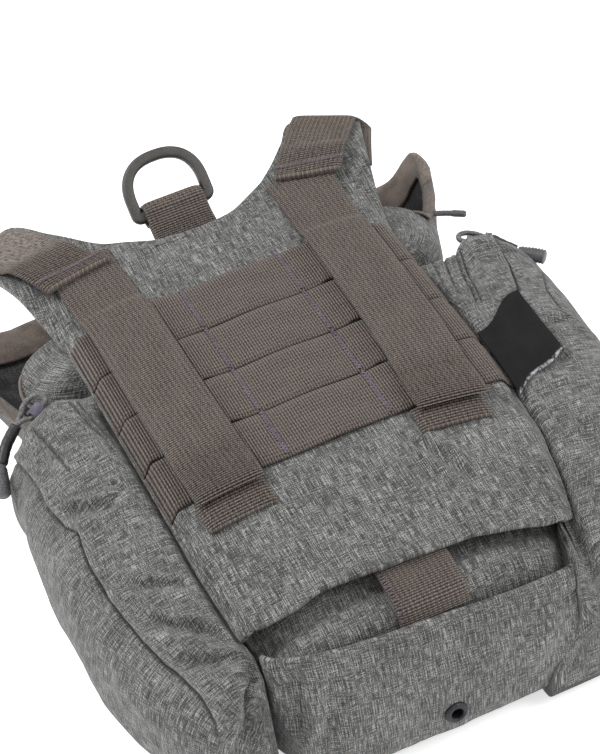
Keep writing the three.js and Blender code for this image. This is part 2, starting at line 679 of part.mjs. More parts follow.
function pocketRings(sign, inset) {
  const lower = [-131, -129, -124, -119, -110, -100, -92, -74, -60, -46, -32, -15, -4];
  const below = lower.map((y, k) => POCKET_PLACES.map((place) => {
    const point = pocketPoint(sign, place, y, inset);
    point.y += inset * Math.max(0, 1 - k / 3);
    return point;
  }));
  const hemFrom = 4;
  const above = steps(0, 1, 3).map((share) => POCKET_PLACES.map((place) =>
    pocketPoint(sign, place, hemFrom + (pocketRimY(place) - hemFrom) * share, inset)));
  return [...below, ...above];
}
for (const [side, sign] of [['left', -1], ['right', 1]]) {
  addPiece(`side_pocket_${side}`,
    solidFromRings([...pocketRings(sign, 0), ...pocketRings(sign, CLOTH).reverse()], 'fan'), HEATHER);
}

// Care label: a bare black ribbon lying over the right pocket
function pocketTop(sign, x, y) {
  const row = pocketRow(sign, y);
  const share = THREE.MathUtils.clamp((x - pocketInner(sign, y)) * sign / row.reach, 0, 0.98);
  const half = (row.back - row.front) / 2;
  return (row.back + row.front) / 2 + half * (1 - share ** POCKET_SQUARE) ** (1 / POCKET_SQUARE);
}
const labelRings = steps(0, 1, 8).map((along) => {
  const edge = (lift) => steps(0, 1, 6).map((out) => {
    const y = LABEL.start + along * LABEL.length + out * LABEL.skew;
    const x = pocketInner(1, y) + LABEL.inset + out * LABEL.reach;
    return new THREE.Vector3(x, y, pocketTop(1, x, y) + LABEL.clear + lift);
  });
  return sheetRing(edge(0), edge(LABEL.cloth));
});
addPiece('care_label', solidFromRings(labelRings, 'strip'), LABEL_CLOTH);

// A round bar between two points, or along a curve through several, with 8 sides
const asVector = ([x, y, z]) => new THREE.Vector3(x, y, z);
function roundBar(points, radius, count, hole = 0) {
  const section = new THREE.Shape();
  section.absarc(0, 0, radius, 0, Math.PI * 2, false);
  if (hole > 0) section.holes.push(new THREE.Path().absarc(0, 0, hole, 0, Math.PI * 2, true));
  const path = new THREE.CatmullRomCurve3(points.map(asVector));
  return new THREE.ExtrudeGeometry(section, { extrudePath: path, steps: count, curveSegments: 4 });
}

// The origin is under the middle of the bag without its pulls, on the surface that it lies on
const extent = new THREE.Box3().setFromObject(bag);
const middle = extent.getCenter(new THREE.Vector3());
bag.position.set(-middle.x, -middle.y, -extent.min.z);

// A place on a pocket's hem, by its share of the way from the back panel to the far side
function pocketHem(sign, share) {
  const y = POCKET_RIM.near + (POCKET_RIM.far - POCKET_RIM.near) * share ** 2;
  const row = pocketRow(sign, y);
  const pull = (share ** POCKET_SQUARE + 1) ** (1 / POCKET_SQUARE);
  const half = (row.back - row.front) / 2;
  return new THREE.Vector3(
    pocketInner(sign, y) + (sign * row.reach * share) / pull,
    y,
    row.back - half + half / pull - CLOTH / 2);
}

// Pocket pulls: a ribbon on the hem, a loop of cord through it, a black sleeve and a moulded end
for (const [side, sign] of [['left', -1], ['right', 1]]) {
  const pull = PULLS[side];
  const seat = pocketHem(sign, pull.hemShare);
  const hemWay = pocketHem(sign, pull.hemShare + 0.1).sub(seat).normalize();
  seat.y += PULL_RIBBON.outer + SEAT;
  const ribbon = [-0.5, 0.5].map((end) =>
    seat.clone().addScaledVector(hemWay, end * PULL_RIBBON.width).toArray());
  addPiece(`pull_ribbon_${side}`, roundBar(ribbon, PULL_RIBBON.outer, 1, PULL_RIBBON.hole), TAUPE_WEBBING);
  addPiece(`pull_cord_${side}`, roundBar(pull.loop, PULL_CORD / 2, 13), HEATHER);
  addPiece(`pull_sleeve_${side}`, roundBar(pull.sleeve, PULL_SLEEVE / 2, 3), RUBBER);
  addPiece(`pull_end_${side}`, roundBar(pull.end, PULL_END / 2, 2), PLASTIC);
}

// Collar drawcord: the tipped end that sticks out of the collar's right side
addPiece('collar_cord_end', roundBar([CORD_END.from, CORD_END.to], CORD_END.thick / 2, 2), PLASTIC);

export default bag;
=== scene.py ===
import math
import bpy
import numpy as np
from mathutils import Matrix, Vector


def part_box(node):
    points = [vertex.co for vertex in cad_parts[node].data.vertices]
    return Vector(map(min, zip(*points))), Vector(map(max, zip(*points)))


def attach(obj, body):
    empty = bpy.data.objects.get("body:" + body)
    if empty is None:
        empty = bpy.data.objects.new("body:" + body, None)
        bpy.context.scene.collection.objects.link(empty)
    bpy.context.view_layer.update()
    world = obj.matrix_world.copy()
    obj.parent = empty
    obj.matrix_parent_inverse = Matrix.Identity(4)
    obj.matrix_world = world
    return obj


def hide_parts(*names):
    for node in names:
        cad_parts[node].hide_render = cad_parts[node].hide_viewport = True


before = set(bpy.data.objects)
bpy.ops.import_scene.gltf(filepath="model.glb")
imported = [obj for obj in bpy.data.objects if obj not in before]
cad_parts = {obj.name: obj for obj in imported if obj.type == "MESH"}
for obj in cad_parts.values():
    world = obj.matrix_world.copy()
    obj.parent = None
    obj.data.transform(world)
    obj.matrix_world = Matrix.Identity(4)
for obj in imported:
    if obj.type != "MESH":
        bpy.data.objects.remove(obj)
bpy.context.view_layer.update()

# Studio: a pale floor and soft white light from above and behind, as for a catalogue picture.
# The camera is where the photograph's camera was, solved from the grid of webbing rows.
MM = 0.001
LOOP_X, LOOP_FROM = -3.0, 76.0
loop_low, loop_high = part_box("hang_loop")
ORIGIN = np.array([
    (loop_low[0] + loop_high[0]) / 2 / MM - LOOP_X,
    loop_low[1] / MM - LOOP_FROM,
    0.0,
])


def metres(points):
    """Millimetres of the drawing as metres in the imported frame."""
    return (np.asarray(points, float) + ORIGIN) * MM


scene = bpy.context.scene
scene.view_settings.view_transform = "Standard"
camera = bpy.data.objects.new("camera", bpy.data.cameras.new("camera"))
scene.collection.objects.link(camera)
camera.data.lens = 121.6
camera.data.sensor_width = 36
CAMERA_AT = (-199.641, -650.988, 677.712)
CAMERA_RIGHT = (0.90677822, -0.40244086, -0.12567659)
CAMERA_DOWN = (-0.35830703, -0.57850255, -0.73276932)
CAMERA_AHEAD = (0.22219209, 0.70949006, -0.66877091)
turned = Matrix((CAMERA_RIGHT, [-c for c in CAMERA_DOWN], [-c for c in CAMERA_AHEAD])).transposed()
camera.matrix_world = Matrix.Translation(metres(CAMERA_AT)) @ turned.to_4x4()
camera.data.clip_start = 0.05
camera.data.clip_end = 20
scene.camera = camera

world = bpy.data.worlds.new("studio")
world.use_nodes = True
world.node_tree.nodes["Background"].inputs["Color"].default_value = (1, 1, 1, 1)
world.node_tree.nodes["Background"].inputs["Strength"].default_value = 0.7
scene.world = world
for name, place, power, size in (
    ("key_light", (-0.75, 0.4, 1.15), 13, 0.5),
    ("fill_light", (1.0, -0.55, 1.0), 10.5, 0.9),
):
    lamp = bpy.data.lights.new(name, "AREA")
    lamp.energy = power
    lamp.size = size
    light = bpy.data.objects.new(name, lamp)
    light.location = place
    light.rotation_mode = "QUATERNION"
    light.rotation_quaternion = Vector(place).to_track_quat("Z", "Y")
    scene.collection.objects.link(light)

FLOOR_HALF, FLOOR_DROP = 2.5, 0.0004
floor_mesh = bpy.data.meshes.new("floor")
floor_mesh.from_pydata(
    [(x, y, -FLOOR_DROP) for x, y in ((-1, -1), (1, -1), (1, 1), (-1, 1))], [], [(0, 1, 2, 3)])
for corner in floor_mesh.vertices:
    corner.co.x *= FLOOR_HALF
    corner.co.y *= FLOOR_HALF
floor = bpy.data.objects.new("floor", floor_mesh)
scene.collection.objects.link(floor)
floor_paint = bpy.data.materials.new("pale_floor")
floor_paint.use_nodes = True
floor_shader = floor_paint.node_tree.nodes["Principled BSDF"]
floor_shader.inputs["Base Color"].default_value = (0.9, 0.9, 0.9, 1)
floor_shader.inputs["Roughness"].default_value = 0.9
floor_shader.inputs["Emission Color"].default_value = (1, 1, 1, 1)
floor_shader.inputs["Emission Strength"].default_value = 0.55
floor_mesh.materials.append(floor_paint)

# Main bag: one soft shell of heathered grey cloth, sewn to a box with a flared collar.
# It is closed at the bottom, flattened where it lies, and gathers into soft folds round the mouth.
CLOTH = 1.8
SEAT = 0.35
BODY = [
    (-126, -5, 42, 55, 13, 3.0), (-124, -5, 49, 59.5, 7, 3.4), (-119, -5, 54, 63, 2, 3.8),
    (-110, -4.5, 57.5, 66, -0.8, 4.4), (-92, -3, 60.8, 70, -1.6, 5.4), (-60, -1, 63.4, 74, -1.8, 6),
    (-15, 0, 64, 74.8, -1.8, 6), (30, 0, 64, 74.6, -1.6, 5.4), (38, 0, 64.2, 74.2, -1.4, 4.8),
    (46, 0, 79, 73, -0.8, 3.9), (56, 0, 87, 71, 1, 3.5), (70, 0, 91, 68, 6, 3.1),
    (92, 0, 99, 63, 16, 2.7), (118, 0, 106, 60, 28, 2.4),
]
NOTCH_Y, BACK_RIM_Y, FRONT_RIM_Y, BACK_FROM, BACK_AT = 70, 96, 118, 60, 87
RIM_SIDES = {"left": (8, -16, 25, 15, 15), "right": (26, -4, -8, 46, 16)}
COLLAR_FROM, GATHER_FROM, GATHER_DEPTH, GATHER_WAVES = 38, 48, 2.2, 7
DRAIN = np.array([-3.0, -132.4, 19.0])
DRAIN_HOLE = 3.4


def smooth(value, start, end):
    t = np.clip((value - start) / (end - start), 0, 1)
    return t * t * (3 - 2 * t)


def bell(value, middle, width):
    return np.exp(-((value - middle) / width) ** 2)


def row_at(table, y):
    """Each column of a table at any y: a cubic through its rows, flat where a column turns round."""
    rows = np.array(table, float)
    ys = rows[:, 0]
    gap = np.diff(ys)
    k = np.clip(np.searchsorted(ys, y, side="left") - 1, 0, len(ys) - 2)
    t = np.clip((y - ys[k]) / gap[k], 0, 1)
    columns = []
    for column in rows.T[1:]:
        rise = np.diff(column) / gap
        before, after = rise[:-1], rise[1:]
        slope = np.zeros(len(ys))
        same = before * after > 0
        slope[1:-1][same] = 2 * (before * after)[same] / (before + after)[same]
        lean = t * (1 - t) * ((1 - t) * slope[k] - t * slope[k + 1])
        columns.append(column[k] + (column[k + 1] - column[k]) * t * t * (3 - 2 * t) + lean * gap[k])
    return columns


def rounded_square(turn, square):
    """A place round a rounded square of half side 1; turn runs from 0 to 4, a side each."""
    corners = np.array([(1, -1), (1, 1), (-1, 1), (-1, -1), (1, -1)], float)
    side = np.clip(np.floor(turn).astype(int), 0, 3)
    part = (turn - side)[..., None]
    place = corners[side] + (corners[side + 1] - corners[side]) * part
    pull = (abs(place[..., 0]) ** square + abs(place[..., 1]) ** square) ** (1 / square)
    return place[..., 0] / pull, place[..., 1] / pull


def body_point(turn, y, inset):
    """Outside of the main bag at a place round its section, set in by part of the cloth."""
    centre, half, back, front, square = row_at(BODY, y)
    unit_x, unit_z = rounded_square(turn, square)
    gather = smooth(y, GATHER_FROM, FRONT_RIM_Y) * GATHER_DEPTH
    wave = gather * np.sin(GATHER_WAVES * np.arctan2(unit_z, abs(unit_x)))
    x = centre + unit_x * (half - inset + wave)
    z = (back + front) / 2 + unit_z * ((back - front) / 2 - inset + wave)
    return np.stack([x, y + 0 * x, np.maximum(z, max(inset, 0))], axis=-1)


def rim_angle(turn):
    """How far round the mouth a place is towards the back, in degrees from its sides."""
    unit_x, unit_z = rounded_square(turn, 3)
    return np.degrees(np.arctan2(unit_z, abs(unit_x))), unit_x


def rim_y(turn):
    """Height of the mouth: slumped at each back corner, high over the front and under the back panel."""
    angle, unit_x = rim_angle(turn)
    rim = NOTCH_Y + smooth(angle, BACK_FROM, BACK_AT) * (BACK_RIM_Y - NOTCH_Y)
    for side, here in (("left", unit_x < 0), ("right", unit_x >= 0)):
        front_from, front_at, slump, slump_at, slump_wide = RIM_SIDES[side]
        to_front = smooth(-angle, -front_from, -front_at) * (FRONT_RIM_Y - NOTCH_Y)
        rim = rim + here * (to_front - slump * bell(angle, slump_at, slump_wide))
    return rim


def cloth_noise(a, b, size, seed):
    """Soft random heights from -1 to 1, with a new one every size millimetres."""
    lattice = np.random.default_rng(seed).uniform(-1, 1, (64, 64))
    i, j = np.floor(a / size).astype(int), np.floor(b / size).astype(int)
    u, v = a / size - i, b / size - j
    u, v = u * u * (3 - 2 * u), v * v * (3 - 2 * v)
    low = lattice[i % 64, j % 64] * (1 - u) + lattice[(i + 1) % 64, j % 64] * u
    high = lattice[i % 64, (j + 1) % 64] * (1 - u) + lattice[(i + 1) % 64, (j + 1) % 64] * u
    return low * (1 - v) + high * v


def rumpled(a, b, layers):
    """Soft random heights in layers, each with its height, its size in millimetres and its seed."""
    return sum(height * cloth_noise(a, b, size, seed) for height, size, seed in layers)


def from_line(a, b, line):
    """Distance from a line of (a, b) points, the side of it, and how far along it, from 0 to 1."""
    line = np.array(line, float)
    legs = np.hypot(*np.diff(line, axis=0).T)
    starts = np.concatenate([[0], np.cumsum(legs)])
    best = np.full(np.shape(a), 1e9)
    share, side = np.zeros(np.shape(a)), np.zeros(np.shape(a))
    for k, leg in enumerate(legs):
        da, db = line[k + 1] - line[k]
        t = np.clip(((a - line[k, 0]) * da + (b - line[k, 1]) * db) / leg ** 2, 0, 1)
        away = np.hypot(a - line[k, 0] - t * da, b - line[k, 1] - t * db)
        share = np.where(away < best, (starts[k] + t * leg) / starts[-1], share)
        side = np.where(away < best, np.sign((b - line[k, 1]) * da - (a - line[k, 0]) * db), side)
        best = np.minimum(away, best)
    return best, side, share


def crease(a, b, line, depth, width, steep=1.0, lip=0.4, fade=0.3):
    """A fold along a line of (a, b) points, sunk by its depth, with raised lips; it fades at its ends.
    steep narrows its left side."""
    away, side, share = from_line(a, b, line)
    taper = 1.0 if fade == 0 else smooth(share, 0, fade) * smooth(1 - share, 0, fade)
    wide = np.where(side > 0, width * steep, width)
    lips = lip * bell(away, 2.2 * wide, wide)
    return depth * taper * (lips - bell(away, 0, wide))


def grid_normals(grid, loop=False):
    """Unit normals of a grid of points, the way that its rows and columns turn."""
    wide = np.concatenate([grid[:, -1:], grid, grid[:, :1]], axis=1) if loop else grid
    normal = np.cross(np.gradient(wide, axis=1), np.gradient(wide, axis=0))
    normal /= np.maximum(np.linalg.norm(normal, axis=-1, keepdims=True), 1e-9)
    return normal[:, 1:-1] if loop else normal


def turned_out(normals, at, way):
    """Normals turned over, if need be, so that the one at a row and column points a given way."""
    return normals if normals[at] @ np.array(way, float) >= 0 else -normals


def arc_lengths(grid, axis):
    """Distance along the rows or the columns of a grid."""
    step = np.linalg.norm(np.diff(grid, axis=axis), axis=-1)
    start = np.zeros_like(np.take(step, [0], axis=axis))
    return np.concatenate([start, np.cumsum(step, axis=axis)], axis=axis)


def place_piece(name, mesh, finish, nodes=(), body="bag"):
    """Links a mesh as a piece, with its material, its body and the CAD nodes that it stands for."""
    piece = bpy.data.objects.new(name, mesh)
    scene.collection.objects.link(piece)
    mesh.materials.append(finish)
    mesh.shade_smooth()
    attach(piece, body)
    if nodes:
        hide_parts(*nodes)
    return piece


def mesh_of(name, points, faces, thread):
    """A mesh from millimetre points and faces; thread gives each face corner its place in the weave."""
    a = points[np.array([f[0] for f in faces])]
    b = points[np.array([f[1] for f in faces])]
    c = points[np.array([f[2] for f in faces])]
    if np.einsum("ij,ij->i", a, np.cross(b, c)).sum() < 0:
        faces = [f[::-1] for f in faces]
        thread = [t[::-1] for t in thread]
    mesh = bpy.data.meshes.new(name)
    mesh.from_pydata(metres(points).tolist(), [], [list(map(int, f)) for f in faces])
    layer = mesh.attributes.new("thread", "FLOAT_VECTOR", "CORNER")
    layer.data.foreach_set("vector", np.concatenate(thread).astype(np.float32).ravel())
    mesh.update()
    return mesh


def sheet_mesh(name, outer, inner, thread, loop=False, cap=False, drained=False, lining_and_shade=0.0):
    """A closed sheet of cloth between two grids of points. loop joins the last column to the first,
    cap closes the first row, drained leaves the drain hole open. The last argument, from 0 to 1, is how far
    the inside faces are darkened: painted shade inside the bag, over a darker lining. thread is in
    millimetres."""
    rows, cols = outer.shape[:2]
    wide = cols + 1 if loop else cols
    points = np.concatenate([outer.reshape(-1, 3), inner.reshape(-1, 3)])
    weave = np.asarray(thread, float).reshape(-1, 3) * MM
    under = rows * cols
    r, c = [g.ravel() for g in np.meshgrid(np.arange(rows - 1), np.arange(wide - 1), indexing="ij")]
    corners = [(r, c), (r, c + 1), (r + 1, c + 1), (r + 1, c)]
    top = np.stack([row * cols + col % cols for row, col in corners], axis=1)
    top_thread = weave[np.stack([row * wide + col for row, col in corners], axis=1)]
    if drained:
        middle = points[top].mean(axis=1)
        flat = np.hypot(middle[:, 0] - DRAIN[0], middle[:, 2] - DRAIN[2])
        kept = (flat > DRAIN_HOLE) | (middle[:, 1] > 0)
        top, top_thread = top[kept], top_thread[kept]
    under_thread = top_thread[:, ::-1].copy()
    # Inside faces darkened: painted shade, over a darker lining.
    if lining_and_shade:
        under_thread[..., 2] = -lining_and_shade * MM
    faces = [*top, *(top[:, ::-1] + under)]
    threads = [*top_thread, *under_thread]

    def strip(first, second, first_thread, second_thread):
        for k in range(len(first) - 1):
            faces.append(np.array([first[k], first[k + 1], second[k + 1], second[k]]))
            threads.append(np.array(
                [first_thread[k], first_thread[k + 1], second_thread[k + 1], second_thread[k]]))

    around = np.arange(wide) % cols
    last = (rows - 1) * cols + around
    last_thread = weave[(rows - 1) * wide + np.arange(wide)]
    strip(last, last + under, last_thread, last_thread)
    first_thread = weave[np.arange(wide)]
    if cap:
        for ring, turn in ((around, 1), (around + under, -1)):
            centre = len(points)
            points = np.concatenate([points, [points[ring[:cols]].mean(axis=0)]])
            for k in range(wide - 1):
                fan = np.array([ring[k + 1], ring[k], centre][::turn])
                faces.append(fan)
                threads.append(points[fan][:, [0, 2, 1]] * (MM, MM, 0))
    else:
        strip(around[::-1], around[::-1] + under, first_thread[::-1], first_thread[::-1])
    if not loop:
        side = np.arange(rows) * cols
        side_thread = weave[np.arange(rows) * wide]
        strip(side, side + under, side_thread, side_thread)
        side = side[::-1] + cols - 1
        side_thread = weave[np.arange(rows)[::-1] * wide + wide - 1]
        strip(side, side + under, side_thread, side_thread)
    return mesh_of(name, points, faces, threads)


def weave_of(across, along, wear_and_painted_light):
    """Thread coordinates: the distance across and along the cloth, and a mask: positive for pale rubbed wear
    and painted light, negative for dirt and painted shade.
    """
    return np.stack(np.broadcast_arrays(across, along, wear_and_painted_light), axis=-1)


def add(tree, kind, inputs=(), **settings):
    """One shader node: its settings, and its inputs linked to a socket or set to a value."""
    made = tree.nodes.new("ShaderNode" + kind)
    for key, value in settings.items():
        setattr(made, key, value)
    for key, value in dict(inputs).items():
        if isinstance(value, bpy.types.NodeSocket):
            tree.links.new(value, made.inputs[key])
        else:
            made.inputs[key].default_value = value
    return made


def calc(tree, operation, *values):
    return add(tree, "Math", enumerate(values), operation=operation).outputs[0]


def mixed(tree, factor, first, second):
    return add(tree, "Mix", {0: factor, 6: first, 7: second}, data_type="RGBA").outputs[2]


def scaled_range(tree, value, low, high, to_low=0.0, to_high=1.0):
    inputs = {"Value": value, "From Min": low, "From Max": high, "To Min": to_low, "To Max": to_high}
    return add(tree, "MapRange", inputs).outputs[0]


def noise_at(tree, a, b, detail=1.0):
    """Noise over two coordinates, each already divided by the size of its grain."""
    vector = add(tree, "CombineXYZ", {0: a, 1: b}).outputs[0]
    inputs = {"Vector": vector, "Scale": 1.0, "Detail": detail, "Roughness": 0.55}
    return add(tree, "TexNoise", inputs, noise_dimensions="2D").outputs[0]


def sized_noise(tree, a, b, sizes, detail):
    """Noise over two coordinates in millimetres, with the size of its grain in each."""
    return noise_at(tree, *[calc(tree, "DIVIDE", way, size) for way, size in zip((a, b), sizes)], detail)


def effect(name, inputs, outputs):
    """A shader node group with named sockets; gives its tree and the nodes for its inputs and outputs."""
    tree = bpy.data.node_groups.new(name, "ShaderNodeTree")
    for label, kind in inputs:
        tree.interface.new_socket(label, in_out="INPUT", socket_type="NodeSocket" + kind)
    for label, kind in outputs:
        tree.interface.new_socket(label, in_out="OUTPUT", socket_type="NodeSocket" + kind)
    return tree, tree.nodes.new("NodeGroupInput").outputs, tree.nodes.new("NodeGroupOutput").inputs


def in_millimetres(tree, thread):
    parts = add(tree, "SeparateXYZ", {0: thread}).outputs
    return [calc(tree, "MULTIPLY", part, 1000.0) for part in parts]


# Worn edges and painted light: pale patches where a piece's own mask says so, rubbed wear where it is handled
# and painted light on the left ear band.
PALE_PATCH_SIZE = (1.6, 1.6)
rubs_and_light, given, put = effect(
    "rubs_and_light_patches", [("Thread", "Vector"), ("Cloth", "Color"), ("Pale Patch", "Color")], [("Color", "Color")])
across, along, wear_and_painted_light_mask = in_millimetres(rubs_and_light, given["Thread"])
patch = sized_noise(rubs_and_light, across, along, PALE_PATCH_SIZE, 3.0)
amount = calc(rubs_and_light, "MULTIPLY", wear_and_painted_light_mask, scaled_range(rubs_and_light, patch, 0.35, 0.7))
rubs_and_light.links.new(mixed(rubs_and_light, amount, given["Cloth"], given["Pale Patch"]), put["Color"])

# Heathered weave: warp and weft spun from dark and light fibres, with long pale slubs both ways.
# Where the mask is negative it is darkened towards the dark fibre: dirt and painted shade in seams and
# pleats, and painted shade over a darker lining inside the bag.
THREAD_PITCH, WARP_SLUB, WEFT_SLUB = 0.35, 7.0, 4.0
CLOUD_SIZE, FIBRE_SHIFT = (14.0, 22.0), 60.0
heathered, given, put = effect(
    "heathered_weave",
    [("Thread", "Vector"), ("Dark", "Color"), ("Middle", "Color"), ("Light", "Color")],
    [("Color", "Color"), ("Height", "Float")])
across, along, wear_and_painted_light_mask = in_millimetres(heathered, given["Thread"])
warp_at, weft_at = [calc(heathered, "DIVIDE", way, THREAD_PITCH) for way in (across, along)]
warp = noise_at(heathered, warp_at, calc(heathered, "DIVIDE", along, WARP_SLUB))
weft = noise_at(heathered, calc(heathered, "DIVIDE", across, WEFT_SLUB), weft_at)
fibre = noise_at(heathered, calc(heathered, "ADD", warp_at, FIBRE_SHIFT), weft_at, 0.0)
cloudy = sized_noise(heathered, across, along, CLOUD_SIZE, 3.0)
tone = calc(heathered, "MULTIPLY_ADD", warp, 1.3, -0.65)
for layer, share in ((weft, 1.0), (fibre, 0.9), (cloudy, 0.3)):
    tone = calc(heathered, "ADD", tone, calc(heathered, "MULTIPLY_ADD", layer, share, 0.16 - share / 2))
shade = mixed(heathered, scaled_range(heathered, tone, 0.0, 0.5), given["Dark"], given["Middle"])
shade = mixed(heathered, scaled_range(heathered, tone, 0.5, 1.0), shade, given["Light"])
# Darkening of seams, pleats and the bag's inside: painted shade, with dirt in the seams.
soil_and_shade = calc(heathered, "MAXIMUM", calc(heathered, "MULTIPLY", wear_and_painted_light_mask, -1.0), 0.0)
heathered.links.new(mixed(heathered, soil_and_shade, shade, given["Dark"]), put["Color"])
heathered.links.new(tone, put["Height"])


def colour(red, green, blue):
    """An sRGB colour from 0 to 255 as linear light."""
    parts = np.array([red, green, blue]) / 255
    return (*np.where(parts < 0.04045, parts / 12.92, ((parts + 0.055) / 1.055) ** 2.4).tolist(), 1.0)


def woven_material(name, group, colours, pale_patch_colour, bump, roughness, sheen=0.0):
    """A cloth material: a weave group, pale patches of rubbed wear and painted light over it, and its height
    as bump.
    """
    finish = bpy.data.materials.new(name)
    finish.use_nodes = True
    tree = finish.node_tree
    shader = tree.nodes["Principled BSDF"]
    thread = add(tree, "Attribute", attribute_name="thread").outputs["Vector"]
    weave = add(tree, "Group", node_tree=group)
    tree.links.new(thread, weave.inputs["Thread"])
    for label, value in colours.items():
        weave.inputs[label].default_value = value
    edge = add(tree, "Group", node_tree=rubs_and_light)
    tree.links.new(thread, edge.inputs["Thread"])
    tree.links.new(weave.outputs["Color"], edge.inputs["Cloth"])
    edge.inputs["Pale Patch"].default_value = pale_patch_colour
    tree.links.new(edge.outputs["Color"], shader.inputs["Base Color"])
    height = add(tree, "Bump", {"Height": weave.outputs["Height"], "Distance": bump, "Strength": 1.0})
    tree.links.new(height.outputs[0], shader.inputs["Normal"])
    shader.inputs["Roughness"].default_value = roughness
    shader.inputs["Sheen Weight"].default_value = sheen
    shader.inputs["Specular IOR Level"].default_value = 0.25
    return finish


HEATHER = woven_material(
    "heather_grey", heathered,
    {"Dark": colour(42, 42, 43), "Middle": colour(86, 86, 85), "Light": colour(162, 162, 159)},
    colour(150, 150, 147), 0.00012, 0.95, 0.1)

BODY_END, BODY_WALL, END_OF_BODY_ROWS, WALL_ROWS, COLLAR_ROWS = -126, -112, 12, 70, 36
BODY_TURNS = np.linspace(0, 4, 220, endpoint=False)[None, :]
body_low = np.concatenate([
    np.linspace(BODY_END, BODY_WALL, END_OF_BODY_ROWS, endpoint=False),
    np.linspace(BODY_WALL, COLLAR_FROM, WALL_ROWS),
])
collar_share = np.linspace(0, 1, COLLAR_ROWS)[1:, None]
body_y = np.concatenate([
    body_low[:, None] + 0 * BODY_TURNS,
    COLLAR_FROM + (rim_y(BODY_TURNS) - COLLAR_FROM) * collar_share,
])
body_turn = BODY_TURNS + 0 * body_y
body = body_point(body_turn, body_y, 0)
body_out = turned_out(grid_normals(body, loop=True), (60, 30), (1, 0, 0))
around_length = arc_lengths(body, 1)
body_along = arc_lengths(body, 0)
slack = smooth(body_y, 44, 70)
BODY_RUMPLE = [(0.7, 17, 1), (0.3, 7, 2)]
rumple = rumpled(around_length, body_y, BODY_RUMPLE)
rumple += slack * 1.1 * cloth_noise(around_length, body_y / 2.5, 9, 3)
rumple = rumple * (0.1 + 0.9 * smooth(rim_y(body_turn) - body_y, 5, 22))
seat_share = smooth(body[..., 2], 0.5, 12) * smooth(-body[..., 2], -70, -62)
rumple = (rumple * (0.15 + 0.85 * seat_share) - 0.2)[..., None]
body = body + body_out * rumple * smooth(body_y, BODY_END, BODY_WALL)[..., None]
slot_swell = 3.4 * bell(body_y, -117, 4.6) + 3.6 * bell(body_y, -123, 3.5)
body[..., 2] += slot_swell * smooth(body[..., 2], 45, 58)
body[..., 2] = np.maximum(body[..., 2], 0)
body_in = body - body_out * CLOTH
body_in[..., 2] = np.maximum(body_in[..., 2], CLOTH)
body_in[:END_OF_BODY_ROWS, :, 1] += CLOTH * np.linspace(1, 0, END_OF_BODY_ROWS)[:, None]
BACK_MIDDLE, STRAIGHT_FROM, CLOSING_STEP = 82, 24, 1.8
body_across = around_length - around_length[:, BACK_MIDDLE:BACK_MIDDLE + 1]
body_across[STRAIGHT_FROM:] = body_across[STRAIGHT_FROM]
wall_along = body_along - body_along[STRAIGHT_FROM]
wall_along[STRAIGHT_FROM:] = body_y[STRAIGHT_FROM:] - body_y[STRAIGHT_FROM]
body_thread = weave_of(
    np.concatenate([body_across, body_across[:, -1:] + CLOSING_STEP], axis=1),
    np.concatenate([wall_along, wall_along[:, :1]], axis=1), 0.0)
# Its inside faces are darkened: painted shade inside the bag, over a darker lining.
body_mesh = sheet_mesh(
    "main_bag", body, body_in, body_thread, loop=True, cap=True, drained=True, lining_and_shade=0.8)
place_piece("bag_shell", body_mesh, HEATHER, ["main_bag"])

# Collar facing: a band of plain taupe cloth folded over the mouth's rim and sewn down,
# a narrow binding outside and a deep band inside. It puckers with the gathers.
FACING_CLOTH, FACING_CLEAR = 1.0, 0.25
FACING_DEEP, FACING_BINDING = 13, 1.5
plain_weave, given, put = effect(
    "plain_weave",
    [("Thread", "Vector"), ("Dark", "Color"), ("Light", "Color")],
    [("Color", "Color"), ("Height", "Float")])
across, along, wear_and_painted_light_mask = in_millimetres(plain_weave, given["Thread"])
PLAIN_PITCH, PLAIN_GRAIN, PLAIN_PATCH = 0.55, (0.5, 0.5), (9.0, 9.0)
fill = calc(plain_weave, "SINE", calc(plain_weave, "MULTIPLY", across, 2 * math.pi / PLAIN_PITCH))
ends = calc(plain_weave, "SINE", calc(plain_weave, "MULTIPLY", along, 2 * math.pi / PLAIN_PITCH))
grain = sized_noise(plain_weave, across, along, PLAIN_GRAIN, 2.0)
dull = sized_noise(plain_weave, across, along, PLAIN_PATCH, 3.0)
crossing = calc(plain_weave, "MULTIPLY", calc(plain_weave, "MULTIPLY", fill, ends), 0.25)
knit = calc(plain_weave, "ADD", crossing, grain)
plain_tone = calc(plain_weave, "ADD", knit, scaled_range(plain_weave, dull, 0.3, 0.7, -0.25, 0.25))
plain_shade = scaled_range(plain_weave, plain_tone, 0.1, 0.9)
plain_weave.links.new(mixed(plain_weave, plain_shade, given["Dark"], given["Light"]), put["Color"])
plain_weave.links.new(knit, put["Height"])
FACING = woven_material(
    "facing_taupe", plain_weave, {"Dark": colour(66, 58, 53), "Light": colour(120, 108, 100)},
    colour(150, 140, 132), 0.0002, 0.85, 0.2)
outside, inside = -SEAT - FACING_CLEAR, CLOTH + SEAT + FACING_CLEAR
over_rim = SEAT + FACING_CLOTH
profile_out = [(-FACING_BINDING, outside - FACING_CLOTH, 0)]
profile_out += [(-FACING_BINDING * (1 - k / 4), outside - FACING_CLOTH, 0) for k in (1, 2, 3)]
fold_middle, fold_half = (outside + inside) / 2, (inside - outside) / 2 + FACING_CLOTH
for k in range(9):
    angle = math.pi * k / 8
    profile_out.append((0, fold_middle - fold_half * math.cos(angle), 0.4 + over_rim * math.sin(angle)))
profile_out += [(-FACING_DEEP * k / 12, inside + FACING_CLOTH, 0) for k in range(1, 13)]
rim_way = np.roll(body[-1], -1, axis=0) - np.roll(body[-1], 1, axis=0)
beyond_rim = np.cross(rim_way, body_out[-1])
beyond_rim /= np.linalg.norm(beyond_rim, axis=1)[:, None]
